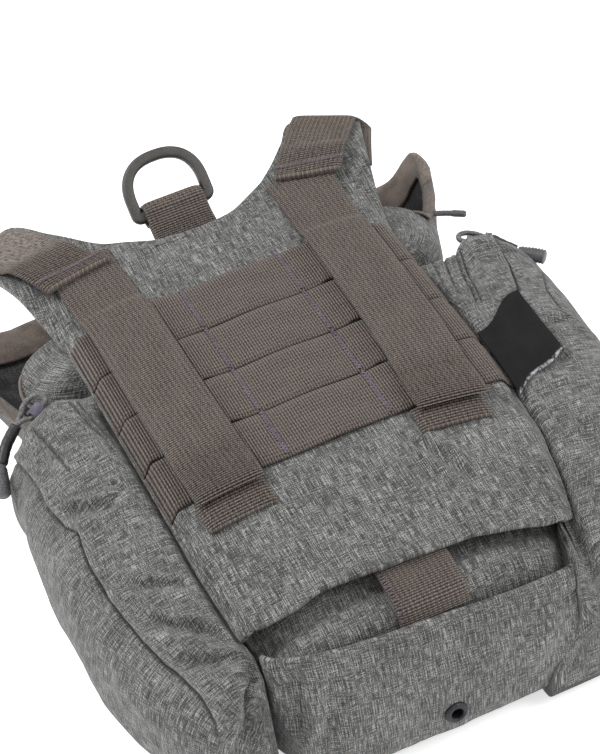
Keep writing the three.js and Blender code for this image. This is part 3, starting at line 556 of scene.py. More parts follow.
beyond_rim *= np.sign((beyond_rim * (body[-1] - body[-4])).sum(axis=1))[:, None]


def collar_wall(below, inset):
    """Points this far below the rim, along the collar's wall, and this far in from its outside."""
    points = []
    for k in range(body.shape[1]):
        from_rim = body_along[-1, k] - body_along[::-1, k]
        place = np.array([np.interp(-below, from_rim, body[::-1, k, axis]) for axis in range(3)])
        face = np.array([np.interp(-below, from_rim, body_out[::-1, k, axis]) for axis in range(3)])
        points.append(place - face * inset)
    return np.array(points)


facing_rows = []
tucked = 0.97 * smooth(rim_angle(BODY_TURNS.T)[0], 26, 44)
inner_start = collar_wall(-0.8, inside + 0.2)
for below, inset, beyond in profile_out:
    ring = collar_wall(below, inset) + beyond_rim * beyond
    if inset < inside + FACING_CLOTH:
        ring = ring + (inner_start - ring) * tucked
    facing_rows.append(ring)
facing = np.array(facing_rows)
facing[..., 2] = np.maximum(facing[..., 2], 0.2)
facing_run = arc_lengths(facing, 1)
facing_drop = arc_lengths(facing, 0)
facing_out = grid_normals(facing, loop=True)
if (facing_out[0] * (facing[0] - facing[0].mean(axis=0))).sum() < 0:
    facing_out = -facing_out
facing = facing + facing_out * (0.35 * cloth_noise(facing_run, facing_drop, 6, 5))[..., None]
facing_back = facing - facing_out * FACING_CLOTH * 0.8
facing_wear = 0.7 * bell(facing_drop, 6, 2.5)
facing_thread = weave_of(
    np.concatenate([facing_run, facing_run[:, -1:] + CLOSING_STEP], axis=1),
    np.concatenate([facing_drop, facing_drop[:, :1]], axis=1),
    np.concatenate([facing_wear, facing_wear[:, :1]], axis=1))
facing_mesh = sheet_mesh("collar_facing", facing, facing_back, facing_thread, loop=True)
place_piece("collar_band", facing_mesh, FACING, ["collar_facing"])

# Bottom panel: one sheet of the heathered cloth over the closed end, its upper edge turned to a lip
# below the back panel's hem. It is sewn to the pockets at its sides, where it pulls into deep folds.
BOTTOM_PROFILE = [(-123.5, 0.6), (-129.4, 9), (-132, 24), (-132.6, 40), (-131.6, 54), (-128.4, 63)]
BOTTOM_CENTRE, BOTTOM_HALF, BOTTOM_SWEEP_LEFT, BOTTOM_SWEEP_RIGHT, BOTTOM_TILT = -5, 57, 12, 4, -0.1
BOTTOM_CORNER_HEIGHT, BOTTOM_CORNER_WIDTH, LIP_SAG = 50, 40, 3.5


def curve_through(points, step):
    """Even points on a smooth curve through some points, with its unit tangents."""
    points = np.array(points, float)
    ends = np.concatenate([[2 * points[0] - points[1]], points, [2 * points[-1] - points[-2]]])
    fine = []
    t = np.linspace(0, 1, 40, endpoint=False)[:, None]
    for a, b, c, d in zip(ends, ends[1:], ends[2:], ends[3:]):
        k0, k1, k2 = [max(np.linalg.norm(q - p), 1e-6) ** 0.5 for p, q in ((a, b), (b, c), (c, d))]
        m1 = ((b - a) / k0 - (c - a) / (k0 + k1) + (c - b) / k1) * k1
        m2 = ((c - b) / k1 - (d - b) / (k1 + k2) + (d - c) / k2) * k1
        fine.append((2 * t ** 3 - 3 * t ** 2 + 1) * b + (t ** 3 - 2 * t ** 2 + t) * m1
                    + (3 * t ** 2 - 2 * t ** 3) * c + (t ** 3 - t ** 2) * m2)
    fine = np.concatenate([*fine, points[-1:]])
    run = np.concatenate([[0], np.cumsum(np.linalg.norm(np.diff(fine, axis=0), axis=1))])
    count = max(2, int(math.ceil(run[-1] / step)) + 1)
    even = np.linspace(0, run[-1], count)
    line = np.stack([np.interp(even, run, column) for column in fine.T], axis=1)
    tangent = np.gradient(line, axis=0)
    tangent /= np.linalg.norm(tangent, axis=1, keepdims=True)
    return line, tangent, even


bottom_line, _, bottom_run = curve_through([(0, y, z) for y, z in BOTTOM_PROFILE], 1.2)
bottom_across = np.linspace(-1, 1, 98)[None, :]
low_corner = np.maximum(0, 1 - bottom_line[:, 2] / BOTTOM_CORNER_HEIGHT)
bottom_half = (BOTTOM_HALF - BOTTOM_CORNER_WIDTH * (1 - np.sqrt(1 - low_corner ** 2)))[:, None]
lean = BOTTOM_TILT * smooth(bottom_line[:, 2], 20, 63)[:, None]
reach_out = bottom_across * bottom_half
sweep = np.where(reach_out < 0, BOTTOM_SWEEP_LEFT, BOTTOM_SWEEP_RIGHT)
lip_sag = LIP_SAG * smooth(-bottom_across, 0.68, 1) * smooth(bottom_line[:, 2:3], 30, 63)
bottom = np.stack([
    BOTTOM_CENTRE + reach_out,
    bottom_line[:, 1:2] + sweep * abs(reach_out / BOTTOM_HALF) ** 6,
    bottom_line[:, 2:3] + lean * reach_out - lip_sag,
], axis=-1)
bottom_out = turned_out(grid_normals(bottom), (30, 49), (0, -1, 0))
bottom_x, bottom_z = bottom[..., 0], bottom[..., 2]
BOTTOM_RUMPLE = [(0.5, 16, 7), (0.22, 6, 8)]
bottom_shape = rumpled(bottom_x, bottom_z, BOTTOM_RUMPLE)
BOTTOM_FOLDS = [
    ([(-52, 68), (-55, 52), (-57, 30)], 2.6, 3.0),
    ([(-44, 62), (-46, 44), (-49, 20)], 1.8, 3.2),
    ([(44, 50), (40, 34), (30, 20)], 1.2, 3.5),
    ([(-30, 52), (0, 47), (28, 47)], 0.8, 4.0),
]
for line, depth, width in BOTTOM_FOLDS:
    bottom_shape = bottom_shape + crease(bottom_x, bottom_z, line, depth, width)
bottom_shape = bottom_shape + 0.6 * bell(bottom_run - bottom_run[-1], -4, 3.0)[:, None]
bottom_shape = bottom_shape - 0.7 * bell(bottom_run - bottom_run[-1], -9.5, 1.0)[:, None]
near_drain = np.exp(-(np.hypot(bottom_x - DRAIN[0], bottom_z - DRAIN[2]) / 7) ** 4)
bottom_shape = bottom_shape * (1 - near_drain) * smooth(1 - abs(bottom_across), 0, 0.04)
bottom = bottom + bottom_out * bottom_shape[..., None]
bottom[..., 2] = np.maximum(bottom[..., 2], 0.2)
bottom_wear = 0.15 * bell(bottom_run - bottom_run[-1], 0, 1.2)[:, None] + 0 * bottom_x
bottom_mesh = sheet_mesh(
    "bottom_panel", bottom, bottom - bottom_out * CLOTH,
    weave_of(bottom_x, bottom_run[:, None], bottom_wear), drained=True)
place_piece("bottom_cloth", bottom_mesh, HEATHER, ["bottom_panel"])

# Drain eyelet: a rolled ring of dark gunmetal pressed through the bottom panel,
# its flange outside and its neck through the cloth.
EYELET_PROFILE = [
    (2.1, -0.3), (2.2, -0.8), (2.6, -1.15), (3.2, -1.15), (3.8, -0.85), (4.2, -0.4), (4.3, 0.0),
    (3.3, 0.05), (2.7, 0.3), (2.65, 3.1), (2.2, 3.2), (2.1, 3.0),
]
EYELET_TILT = -0.09


def turned_mesh(name, centre, axis, side, profile, count):
    """A ring turned round an axis: profile pairs are the radius and the distance along the axis."""
    other = np.cross(axis, side)
    angle = np.linspace(0, 2 * math.pi, count, endpoint=False)
    spokes = np.cos(angle)[:, None] * side + np.sin(angle)[:, None] * other
    ring = np.array([centre + spokes * radius + np.asarray(axis) * depth for radius, depth in profile])
    rows = len(profile)
    faces, threads = [], []
    for r in range(rows):
        for k in range(count):
            faces.append(np.array([r * count + k, r * count + (k + 1) % count,
                                   (r + 1) % rows * count + (k + 1) % count, (r + 1) % rows * count + k]))
            threads.append(np.array([(k, r, 0), (k + 1, r, 0), (k + 1, r + 1, 0), (k, r + 1, 0)]) * MM)
    return mesh_of(name, ring.reshape(-1, 3), faces, threads)


speckled, given, put = effect(
    "moulded_speckle", [("Dark", "Color"), ("Light", "Color"), ("Grain", "Float")],
    [("Color", "Color"), ("Roughness", "Float"), ("Height", "Float")])
grain_place = add(speckled, "TexCoord").outputs["Object"]
grain = add(speckled, "TexNoise", {"Vector": grain_place, "Scale": given["Grain"], "Detail": 4.0}).outputs[0]
broad = add(speckled, "TexNoise", {"Vector": grain_place, "Scale": 180.0, "Detail": 3.0}).outputs[0]
speck = calc(
    speckled, "MULTIPLY", scaled_range(speckled, grain, 0.3, 0.7), scaled_range(speckled, broad, 0.2, 0.7))
speckled.links.new(mixed(speckled, speck, given["Dark"], given["Light"]), put["Color"])
speckled.links.new(scaled_range(speckled, broad, 0.3, 0.7, 0.38, 0.62), put["Roughness"])
speckled.links.new(grain, put["Height"])


def moulded_material(name, dark, light, grain, bump, metallic=0.0):
    """Moulded plastic, rubber or dark metal with a fine speckle and uneven gloss."""
    finish = bpy.data.materials.new(name)
    finish.use_nodes = True
    tree = finish.node_tree
    shader = tree.nodes["Principled BSDF"]
    surface = add(tree, "Group", node_tree=speckled)
    surface.inputs["Dark"].default_value = dark
    surface.inputs["Light"].default_value = light
    surface.inputs["Grain"].default_value = grain
    tree.links.new(surface.outputs["Color"], shader.inputs["Base Color"])
    tree.links.new(surface.outputs["Roughness"], shader.inputs["Roughness"])
    height = add(tree, "Bump", {"Height": surface.outputs["Height"], "Distance": bump, "Strength": 1.0})
    tree.links.new(height.outputs[0], shader.inputs["Normal"])
    shader.inputs["Metallic"].default_value = metallic
    return finish


GUNMETAL = moulded_material("dark_gunmetal", colour(34, 34, 40), colour(80, 78, 82), 1500, 0.00003, 0.6)
eyelet_axis = np.array([0, math.cos(EYELET_TILT), math.sin(EYELET_TILT)])
eyelet_mesh = turned_mesh("drain_eyelet", DRAIN, eyelet_axis, np.array([1.0, 0, 0]), EYELET_PROFILE, 56)
place_piece("drain_ring", eyelet_mesh, GUNMETAL, ["drain_eyelet"])

# Back panel: a heavier sheet of the heathered cloth over the back, with a turned hem at the slot,
# sides sewn down into the seams, a shallow neck and two ears that carry the shoulder straps.
PANEL_CLOTH, BACK_HEIGHT, PANEL_OVERLAP, EDGE_DROP = 2.0, 78, 2.0, 5
HEM_DROP, HEM_Y, HEM_DROP_FROM, FLARE_FROM, PANEL_SPLIT = 4, -114, -60, 50, 0.62
EAR_X, EAR_Y, EAR_ANGLE, EAR_LENGTH, EAR_RISE, EAR_CLEAR = 47.5, 84.5, math.radians(33), 38, 3.2, 0.95
EAR_SPREAD = {"left": 6.5, "right": 0.0}
HEM_LINE = [
    (-1, -107.5), (-0.95, -109), (-0.85, -110.4), (-0.72, -110.4), (-0.48, -107.8), (-0.3, -108.4),
    (0, -109.8), (0.3, -110.4), (0.4, -110.8), (0.5, -112.4), (0.68, -114.4), (0.87, -116.4),
    (0.95, -115.8), (1, -113)]
NECK = [
    (0, 0, 83), (0.22, 14, 84.6), (0.4, 26, 91.5), (0.55, 37, 99), (0.68, 46.5, 109), (0.8, 57, 123.5),
    (1, 80.5, 109)]
SIDE_TURN, WALL_TOP = 4.5, 30


def back_face(x, y):
    """Height of the back panel's outer face: a low crown, drooping to the hem, with lifted ears."""
    centre, half = row_at(BODY, np.minimum(y, WALL_TOP))[:2]
    across = np.minimum(abs(x - centre) / (half + PANEL_OVERLAP), 1)
    below_ears = 1 - smooth(y, FLARE_FROM, EAR_Y)
    crown = (EDGE_DROP * across ** 4 + SIDE_TURN * smooth(across, 0.93, 1.0)) * below_ears
    droop = HEM_DROP * np.maximum(0, (HEM_DROP_FROM - y) / (HEM_DROP_FROM - HEM_Y)) ** 2
    ear = (abs(x) - EAR_X) * math.sin(EAR_ANGLE) + (y - EAR_Y) * math.cos(EAR_ANGLE)
    return BACK_HEIGHT - crown - droop + EAR_RISE * np.sin(math.pi * np.clip(ear / EAR_LENGTH, 0, 1))


panel_across = np.sign(np.linspace(-1, 1, 151)) * abs(np.linspace(-1, 1, 151)) ** 0.85
panel_along = np.concatenate(
    [np.linspace(0, PANEL_SPLIT, 130, endpoint=False), np.linspace(PANEL_SPLIT, 1, 64)])
share, along = np.meshgrid(panel_across, panel_along)
hem_y = row_at(HEM_LINE, share)[0]
low_y = hem_y + (FLARE_FROM - hem_y) * along / PANEL_SPLIT
low_centre, low_half = row_at(BODY, np.minimum(low_y, WALL_TOP))[:2]
rise = np.clip((along - PANEL_SPLIT) / (1 - PANEL_SPLIT), 0, 1)
neck_x, neck_top = row_at(NECK, abs(share))
spread = np.where(share < 0, EAR_SPREAD["left"], EAR_SPREAD["right"]) * smooth(abs(share), 0.2, 0.6)
neck_x = neck_x + spread * math.cos(EAR_ANGLE)
neck_top = neck_top - 0.25 * spread * math.sin(EAR_ANGLE)
start_x = share * (row_at(BODY, np.array(WALL_TOP))[1] + PANEL_OVERLAP)
panel_x = np.where(along <= PANEL_SPLIT, low_centre + share * (low_half + PANEL_OVERLAP),
                   start_x + (np.sign(share) * neck_x - start_x) * rise ** 1.4)
panel_y = np.where(along <= PANEL_SPLIT, low_y, FLARE_FROM + (neck_top - FLARE_FROM) * rise)
panel = np.stack([panel_x, panel_y, back_face(panel_x, panel_y)], axis=-1)
panel_out = turned_out(grid_normals(panel), (60, 75), (0, 0, 1))
free = smooth(-panel_y, 50, 56)
PANEL_RUMPLE = [(0.55, 15, 11), (0.25, 6, 12)]
panel_shape = free * rumpled(panel_x, panel_y, PANEL_RUMPLE)
above = smooth(panel_y, 52, 62)
panel_shape = panel_shape + above * 0.3 * cloth_noise(panel_x, panel_y, 9, 13)
PANEL_FOLDS = [
    ([(19, -58), (24.6, -74), (31, -92)], 2.4, 2.0),
    ([(-56, -91), (-20, -90), (48, -91)], 0.45, 0.8),
    ([(-62, -70), (-45, -74), (-30, -82)], 0.9, 5.0),
    ([(-15, -112), (-10, -104), (4, -99)], 0.8, 3.5),
    ([(-28, 66), (-24, 74), (-18, 80)], 0.9, 3.0),
    ([(-12, 60), (-6, 70), (-5, 79)], 0.6, 3.5),
]
for line, depth, width in PANEL_FOLDS:
    panel_shape = panel_shape + crease(panel_x, panel_y, line, depth, width)
above_hem = panel_y - hem_y
hem_bead = bell(above_hem, 1.5, 1.6) * 0.3 - bell(above_hem, 8, 0.8) * 0.4
panel_shape = panel_shape + hem_bead
panel = panel + panel_out * panel_shape[..., None]
edge_wear = 0.5 * bell(1 - abs(share), 0, 0.012) + 0.2 * bell(above_hem, 0, 0.8)
panel_mesh = sheet_mesh(
    "back_panel", panel, panel - panel_out * PANEL_CLOTH, weave_of(panel_x, panel_y, edge_wear))
place_piece("back_cloth", panel_mesh, HEATHER, ["back_panel"])

# Webbing rows: four bands of ribbed taupe webbing side by side over the back, stitched down in columns,
# so that each arches a little between them; the ends are sewn into the panel's side seams.
WEBBING_WIDTH, WEBBING, STITCH_PITCH, ROW_ARCH, ROW_HALF = 25.4, 1.6, 38.1, 0.7, 65.6
RIB_PITCH, RIB_HEIGHT, RIB_STEPS = 1.05, 0.16, 5
ribbed, given, put = effect(
    "webbing_ribs", [("Thread", "Vector"), ("Dark", "Color"), ("Light", "Color")],
    [("Color", "Color"), ("Height", "Float")])
run, across, wear_and_painted_light_mask = in_millimetres(ribbed, given["Thread"])
BEAD_PITCH, CORD_PITCH, YARN_GRAIN, FADE_PATCH = 0.86, 1.73, (0.5, 0.9), (18.0, 7.0)
rib = calc(ribbed, "COSINE", calc(ribbed, "MULTIPLY", run, 2 * math.pi / RIB_PITCH))
rib_number = calc(ribbed, "ROUND", calc(ribbed, "DIVIDE", run, RIB_PITCH))
staggered = calc(ribbed, "MULTIPLY", rib_number, 0.5)
shifted = calc(ribbed, "ADD", calc(ribbed, "DIVIDE", across, BEAD_PITCH), staggered)
bead = calc(ribbed, "COSINE", calc(ribbed, "MULTIPLY", shifted, 2 * math.pi))
# Where the mask is negative the ribs have parted and their gaps are darkened towards the dark yarn: painted
# shade.
rib_parting_and_painted_light = calc(ribbed, "MAXIMUM", calc(ribbed, "MULTIPLY", wear_and_painted_light_mask, -1.0), 0.0)
rib_up = scaled_range(ribbed, rib, -1.0, 0.9)
rib_flat = scaled_range(ribbed, rib, -1.0, 0.9, 0.2, 1.0)
painted_gap_shade = calc(ribbed, "MULTIPLY", calc(ribbed, "SUBTRACT", rib_up, rib_flat), rib_parting_and_painted_light)
bead_up = scaled_range(ribbed, bead, -1.0, 1.0, 0.5, 1.0)
cord = calc(ribbed, "COSINE", calc(ribbed, "MULTIPLY", across, 2 * math.pi / CORD_PITCH))
bead_up = calc(ribbed, "MULTIPLY", bead_up, scaled_range(ribbed, cord, -1.0, 1.0, 0.58, 1.06))
yarn = calc(ribbed, "MULTIPLY", calc(ribbed, "ADD", rib_flat, painted_gap_shade), bead_up)
fibre = sized_noise(ribbed, run, across, YARN_GRAIN, 2.0)
faded = sized_noise(ribbed, run, across, FADE_PATCH, 3.0)
yarn_tone = calc(ribbed, "ADD", yarn, scaled_range(ribbed, fibre, 0.3, 0.7, -0.18, 0.18))
yarn_tone = calc(ribbed, "ADD", yarn_tone, scaled_range(ribbed, faded, 0.3, 0.7, -0.03, 0.03))
yarn_shade = scaled_range(ribbed, yarn_tone, 0.0, 1.0)
ribbed.links.new(mixed(ribbed, yarn_shade, given["Dark"], given["Light"]), put["Color"])
ribbed.links.new(yarn, put["Height"])
TAUPE = woven_material(
    "webbing_taupe", ribbed, {"Dark": colour(22, 19, 18), "Light": colour(136, 124, 116)},
    colour(150, 139, 132), 0.0002, 0.8, 0.1)
ACROSS = np.linspace(-0.5, 0.5, 15) * WEBBING_WIDTH


def webbing_mesh(name, lower, upper, run, rib_parting_and_painted_light=0.0, pitch=RIB_PITCH):
    """A band of webbing between two faces, with raised ribs across it and rounded selvedges.
    The fifth argument, from 0 to 1 along the run, says where it bends and its ribs part, with painted shade
    in their gaps; below 0 the ribs flatten and take pale patches of painted light."""
    rib_parting_and_painted_light = np.broadcast_to(rib_parting_and_painted_light, run.shape)[:, None]
    lift = upper - lower
    lift = lift / np.linalg.norm(lift, axis=-1, keepdims=True)
    edge = (abs(ACROSS) / (WEBBING_WIDTH / 2)) ** 10
    rib = RIB_HEIGHT * (1 + rib_parting_and_painted_light) * np.cos(2 * math.pi * run / pitch)[:, None]
    top = upper + lift * (rib * (1 - 0.5 * edge) - 0.7 * edge)[..., None]
    under = lower + lift * (0.15 * edge)[..., None] + 0 * upper
    wear_and_painted_light = -rib_parting_and_painted_light * (1 - edge)
    return sheet_mesh(name, top, under, weave_of(run[:, None] * RIB_PITCH / pitch, ACROSS[None, :], wear_and_painted_light))


def rib_stations(length):
    return np.arange(0, length, RIB_PITCH / RIB_STEPS)


ROW_COUNT = 4
COLUMNS = np.array([-ROW_HALF, *(STITCH_PITCH * np.array([-1.5, -0.5, 0.5, 1.5])), ROW_HALF])
ROW_TWISTS = [(0.5, 0.2), (0.25, 0.4), (0.5, 0.15), (0.2, 0.6)]
ROW_SLOTS = [[(29.5, 1.2)], [(28.5, 1.1), (-30, 0.8)], [(26, 1.1), (-30.5, 1.0), (-61, 1.2)], []]


def row_arch(x):
    """How far a row stands off the panel between its stitched columns."""
    span = np.clip(np.searchsorted(COLUMNS, x, side="right"), 1, len(COLUMNS) - 1)
    left, right = COLUMNS[span - 1], COLUMNS[span]
    width = np.minimum(1, (right - left) / STITCH_PITCH)
    return ROW_ARCH * width * np.sin(math.pi * (x - left) / (right - left)) ** 2


row_run = rib_stations(2 * ROW_HALF)
for row in range(ROW_COUNT):
    middle = ((ROW_COUNT - 1) / 2 - row) * WEBBING_WIDTH
    x = (row_run - ROW_HALF)[:, None] + 0 * ACROSS
    y = middle + ACROSS[None, :] * (1 - 2 * SEAT / WEBBING_WIDTH) + 0 * x
    gape_left, gape_right = ROW_TWISTS[row]
    lifted = gape_left * bell(x, -28, 7) + gape_right * bell(x, 27, 7)
    stretch = 0.25 * np.sin(x / 9 + row) * (ACROSS[None, :] / WEBBING_WIDTH)
    low_edge = np.clip(-2 * ACROSS[None, :] / WEBBING_WIDTH, 0, 1) ** 3
    for at, depth in ROW_SLOTS[row]:
        slot = depth * bell(x, at, 3.2) * low_edge
        stretch, lifted = stretch + slot, lifted + 0.6 * slot
    base = back_face(x, y) + SEAT + row_arch(x) + lifted * (0.5 + ACROSS[None, :] / WEBBING_WIDTH)
    lower = np.stack([x, y + stretch, base], axis=-1)
    upper = np.stack([x, y + stretch, base + WEBBING], axis=-1)
    name = f"webbing_row_{row + 1}"
    row_x = row_run - ROW_HALF
    # Ribs part where the rows gape and at the left end, with painted shade in their gaps.
    parting_and_painted_light = 0.9 * bell(row_x, 28, 5) + 0.5 * bell(row_x, -29, 4)
    parting_and_painted_light = np.clip(parting_and_painted_light + 0.9 * smooth(-row_x, 55, 60), 0, 1)
    band = webbing_mesh(name, lower, upper, row_run, 0.05 + 0.95 * parting_and_painted_light)
    place_piece(f"row_band_{row + 1}", band, TAUPE, [name])

# Stitching: purple-grey polyester thread. Dense zigzag tacks hold the rows in columns, plain running
# stitches hold the hems. Each stitch is a small plump spindle of thread laid in the surface.
THREAD = moulded_material("purple_thread", colour(74, 66, 76), colour(132, 120, 136), 2600, 0.00004)
STITCH_SIDES, STOUT_THREAD, FINE_THREAD = 6, 0.6, 0.5


def stitch_mesh(name, starts, ends, thick):
    """Spindles of thread, each from a start to an end, six-sided and plump in the middle."""
    starts, ends = np.asarray(starts, float), np.asarray(ends, float)
    points, faces = [], []
    turns = np.arange(STITCH_SIDES) * math.pi / 3
    for first, last in zip(starts, ends):
        way = (last - first) / np.linalg.norm(last - first)
        side = np.cross(way, (0, 0, 1.0) if abs(way[2]) < 0.8 else (1.0, 0, 0))
        side /= np.linalg.norm(side)
        other = np.cross(way, side)
        base = len(points)
        points.append(first)
        for part in (0.2, 0.8):
            centre = first + (last - first) * part
            points.extend(centre + thick / 2 * (side * math.cos(t) + other * math.sin(t)) for t in turns)
        points.append(last)
        for k in range(STITCH_SIDES):
            n = (k + 1) % STITCH_SIDES
            faces.append(np.array([base, base + 1 + n, base + 1 + k]))
            faces.append(np.array([base + 1 + k, base + 1 + n, base + 7 + n, base + 7 + k]))
            faces.append(np.array([base + 13, base + 7 + k, base + 7 + n]))
    return mesh_of(name, np.array(points), faces, [np.zeros((len(f), 3)) for f in faces])


def running_stitches(line, lift, length=2.2, gap=0.9):
    """Starts and ends of running stitches along a line on the back panel's face."""
    path, _, even = curve_through([(x, y, 0) for x, y in line], 0.1)
    starts, ends = [], []
    for at in np.arange(0, even[-1] - length, length + gap):
        a, b = [np.array([np.interp(at + d, even, path[:, k]) for k in (0, 1)]) for d in (0, length)]
        starts.append((*a, float(back_face(a[0], a[1])) + lift))
        ends.append((*b, float(back_face(b[0], b[1])) + lift))
    return starts, ends


tack_starts, tack_ends = [], []
TACK_COLUMNS, TACK_WIDTHS, TACK_PITCH, TACK_MARGIN = (-20.2, 19.05), (1.7, 1.7, 1.9, 2.5), 0.85, 1.6
draw = np.random.default_rng(21)
for row in range(ROW_COUNT):
    middle = ((ROW_COUNT - 1) / 2 - row) * WEBBING_WIDTH
    for column in TACK_COLUMNS:
        lowest, highest = middle - WEBBING_WIDTH / 2, middle + WEBBING_WIDTH / 2
        ys = np.arange(lowest + TACK_MARGIN, highest - TACK_MARGIN / 2, TACK_PITCH)
        for k, y in enumerate(ys):
            lean_x, lean_y = draw.uniform(-0.3, 0.3), draw.uniform(-0.15, 0.15)
            half = TACK_WIDTHS[row] / 2 * draw.uniform(0.75, 1.1)
            slope = TACK_PITCH * (1 if k % 2 else -1) * 0.9
            height = float(back_face(column, y)) + SEAT + WEBBING + RIB_HEIGHT
            tack_starts.append((column - half + lean_x, y - slope / 2 + lean_y, height))
            tack_ends.append((column + half + lean_x, y + slope / 2 + lean_y, height))
tack_mesh = stitch_mesh("row_tacks", tack_starts, tack_ends, STOUT_THREAD)
place_piece("row_tacks", tack_mesh, THREAD)
PANEL_STITCHES = [[(-58.5, -91), (-48, -90.6), (-38, -90.4)], [(-60, -106), (-53, -105), (-46, -104.6)]]
panel_starts, panel_ends = [], []
for line in PANEL_STITCHES:
    starts, ends = running_stitches(line, 0.3, 1.8, 1.0)
    panel_starts, panel_ends = panel_starts + starts, panel_ends + ends
panel_stitches = stitch_mesh("panel_stitches", panel_starts, panel_ends, FINE_THREAD)
place_piece("panel_stitches", panel_stitches, THREAD)

# Back straps: two long bands of the same webbing up over the rows to the ears, their upper ends caught
# under the ear webbing. Each is rolled under at its lower end, over a short sewn tail.
STRAP_TOP, STRAP_END, STRAP_CLEAR = 88, -54.8, 0.8
STRAP_LINES = {
    "left": [(-70, -44.4), (40, -45), (88, -47.4)],
    "right": [(-70, 38.4), (-55, 39.4), (0, 43), (88, 44.2)],
}
STRAP_SLANT = {"left": 0.0, "right": 0.12}
OVER_ROWS = SEAT + WEBBING + ROW_ARCH + SEAT
ROLL_OUTER, ROLL_TURN, ROLL_LIFT = 3.2, math.radians(62), 1.8
TAIL_FROM, TAIL_TO = -54, {"left": (-68, 0), "right": (-65.5, -2.0)}
TAIL_RIB, TAIL_CLEAR = 1.4, 0.2


def band_faces(x, y, base, thick, turn, across_way, ahead_way, slant):
    """Lower and upper faces of a band over the back panel, from its stations along the run."""
    side = ACROSS[None, :]
    px = x[:, None] + across_way[0] * side + ahead_way[0] * slant[:, None] * side
    py = y[:, None] + across_way[1] * side + ahead_way[1] * slant[:, None] * side
    face = back_face(px, py) + base[:, None]
    lower = np.stack([px, py, face], axis=-1)
    reach = (thick * np.cos(turn))[:, None]
    rise = (thick * np.sin(turn))[:, None]
    upper = np.stack([px + ahead_way[0] * reach, py + ahead_way[1] * reach, face + rise], axis=-1)
    return lower, upper


for side in STRAP_LINES:
    straight = STRAP_TOP - STRAP_END
    roll_inner = ROLL_OUTER - WEBBING
    run = rib_stations(straight + ROLL_OUTER * ROLL_TURN)
    angle = np.maximum(0, run - straight) / ROLL_OUTER
    y = np.where(run < straight, STRAP_TOP - run, STRAP_END - roll_inner * np.sin(angle))
    up = STRAP_CLEAR + (OVER_ROWS - STRAP_CLEAR) * (1 - smooth(y, 51.5, 58))
    wavy = 0.25 * np.sin((y + 51) / 16) ** 2
    up = up + ROLL_LIFT * smooth(-y, 36, 51.5)
    base = up + wavy * (angle == 0) - roll_inner * (1 - np.cos(angle))
    flat = np.zeros_like(run)
    line_y = np.maximum(y, STRAP_END)
    slant = STRAP_SLANT[side] * (1 - smooth(line_y, STRAP_END, 0))
    strap_x = row_at(STRAP_LINES[side], line_y)[0]
    lower, upper = band_faces(
        strap_x, y, base, flat + WEBBING, math.pi / 2 - angle, (1, 0), (0, -1), slant)
    name = f"back_strap_{side}"
    # Ribs part towards the roll, with painted shade in their gaps.
    parting_and_painted_light = smooth(run, straight - 28, straight - 8)
    band = webbing_mesh(name, lower, upper, run, parting_and_painted_light)
    place_piece(f"long_strap_{side}", band, TAUPE, [name])

    tail_to, tail_shift = TAIL_TO[side]
    run = rib_stations(TAIL_FROM - tail_to)
    flat = np.zeros_like(run)
    tail_y = TAIL_FROM - run
    tail_x = row_at(STRAP_LINES[side], tail_y)[0] + tail_shift
    lower, upper = band_faces(
        tail_x, tail_y, flat + SEAT + TAIL_CLEAR, flat + WEBBING, flat + math.pi / 2,
        (1, 0), (0, -1), flat + STRAP_SLANT[side])
    name = f"strap_tail_{side}"
    # The tail's ribs stand open all along, with painted shade in their gaps.
    tail = webbing_mesh(name, lower, upper, run, 0.8, TAIL_RIB)
    place_piece(f"tail_end_{side}", tail, TAUPE, [name])

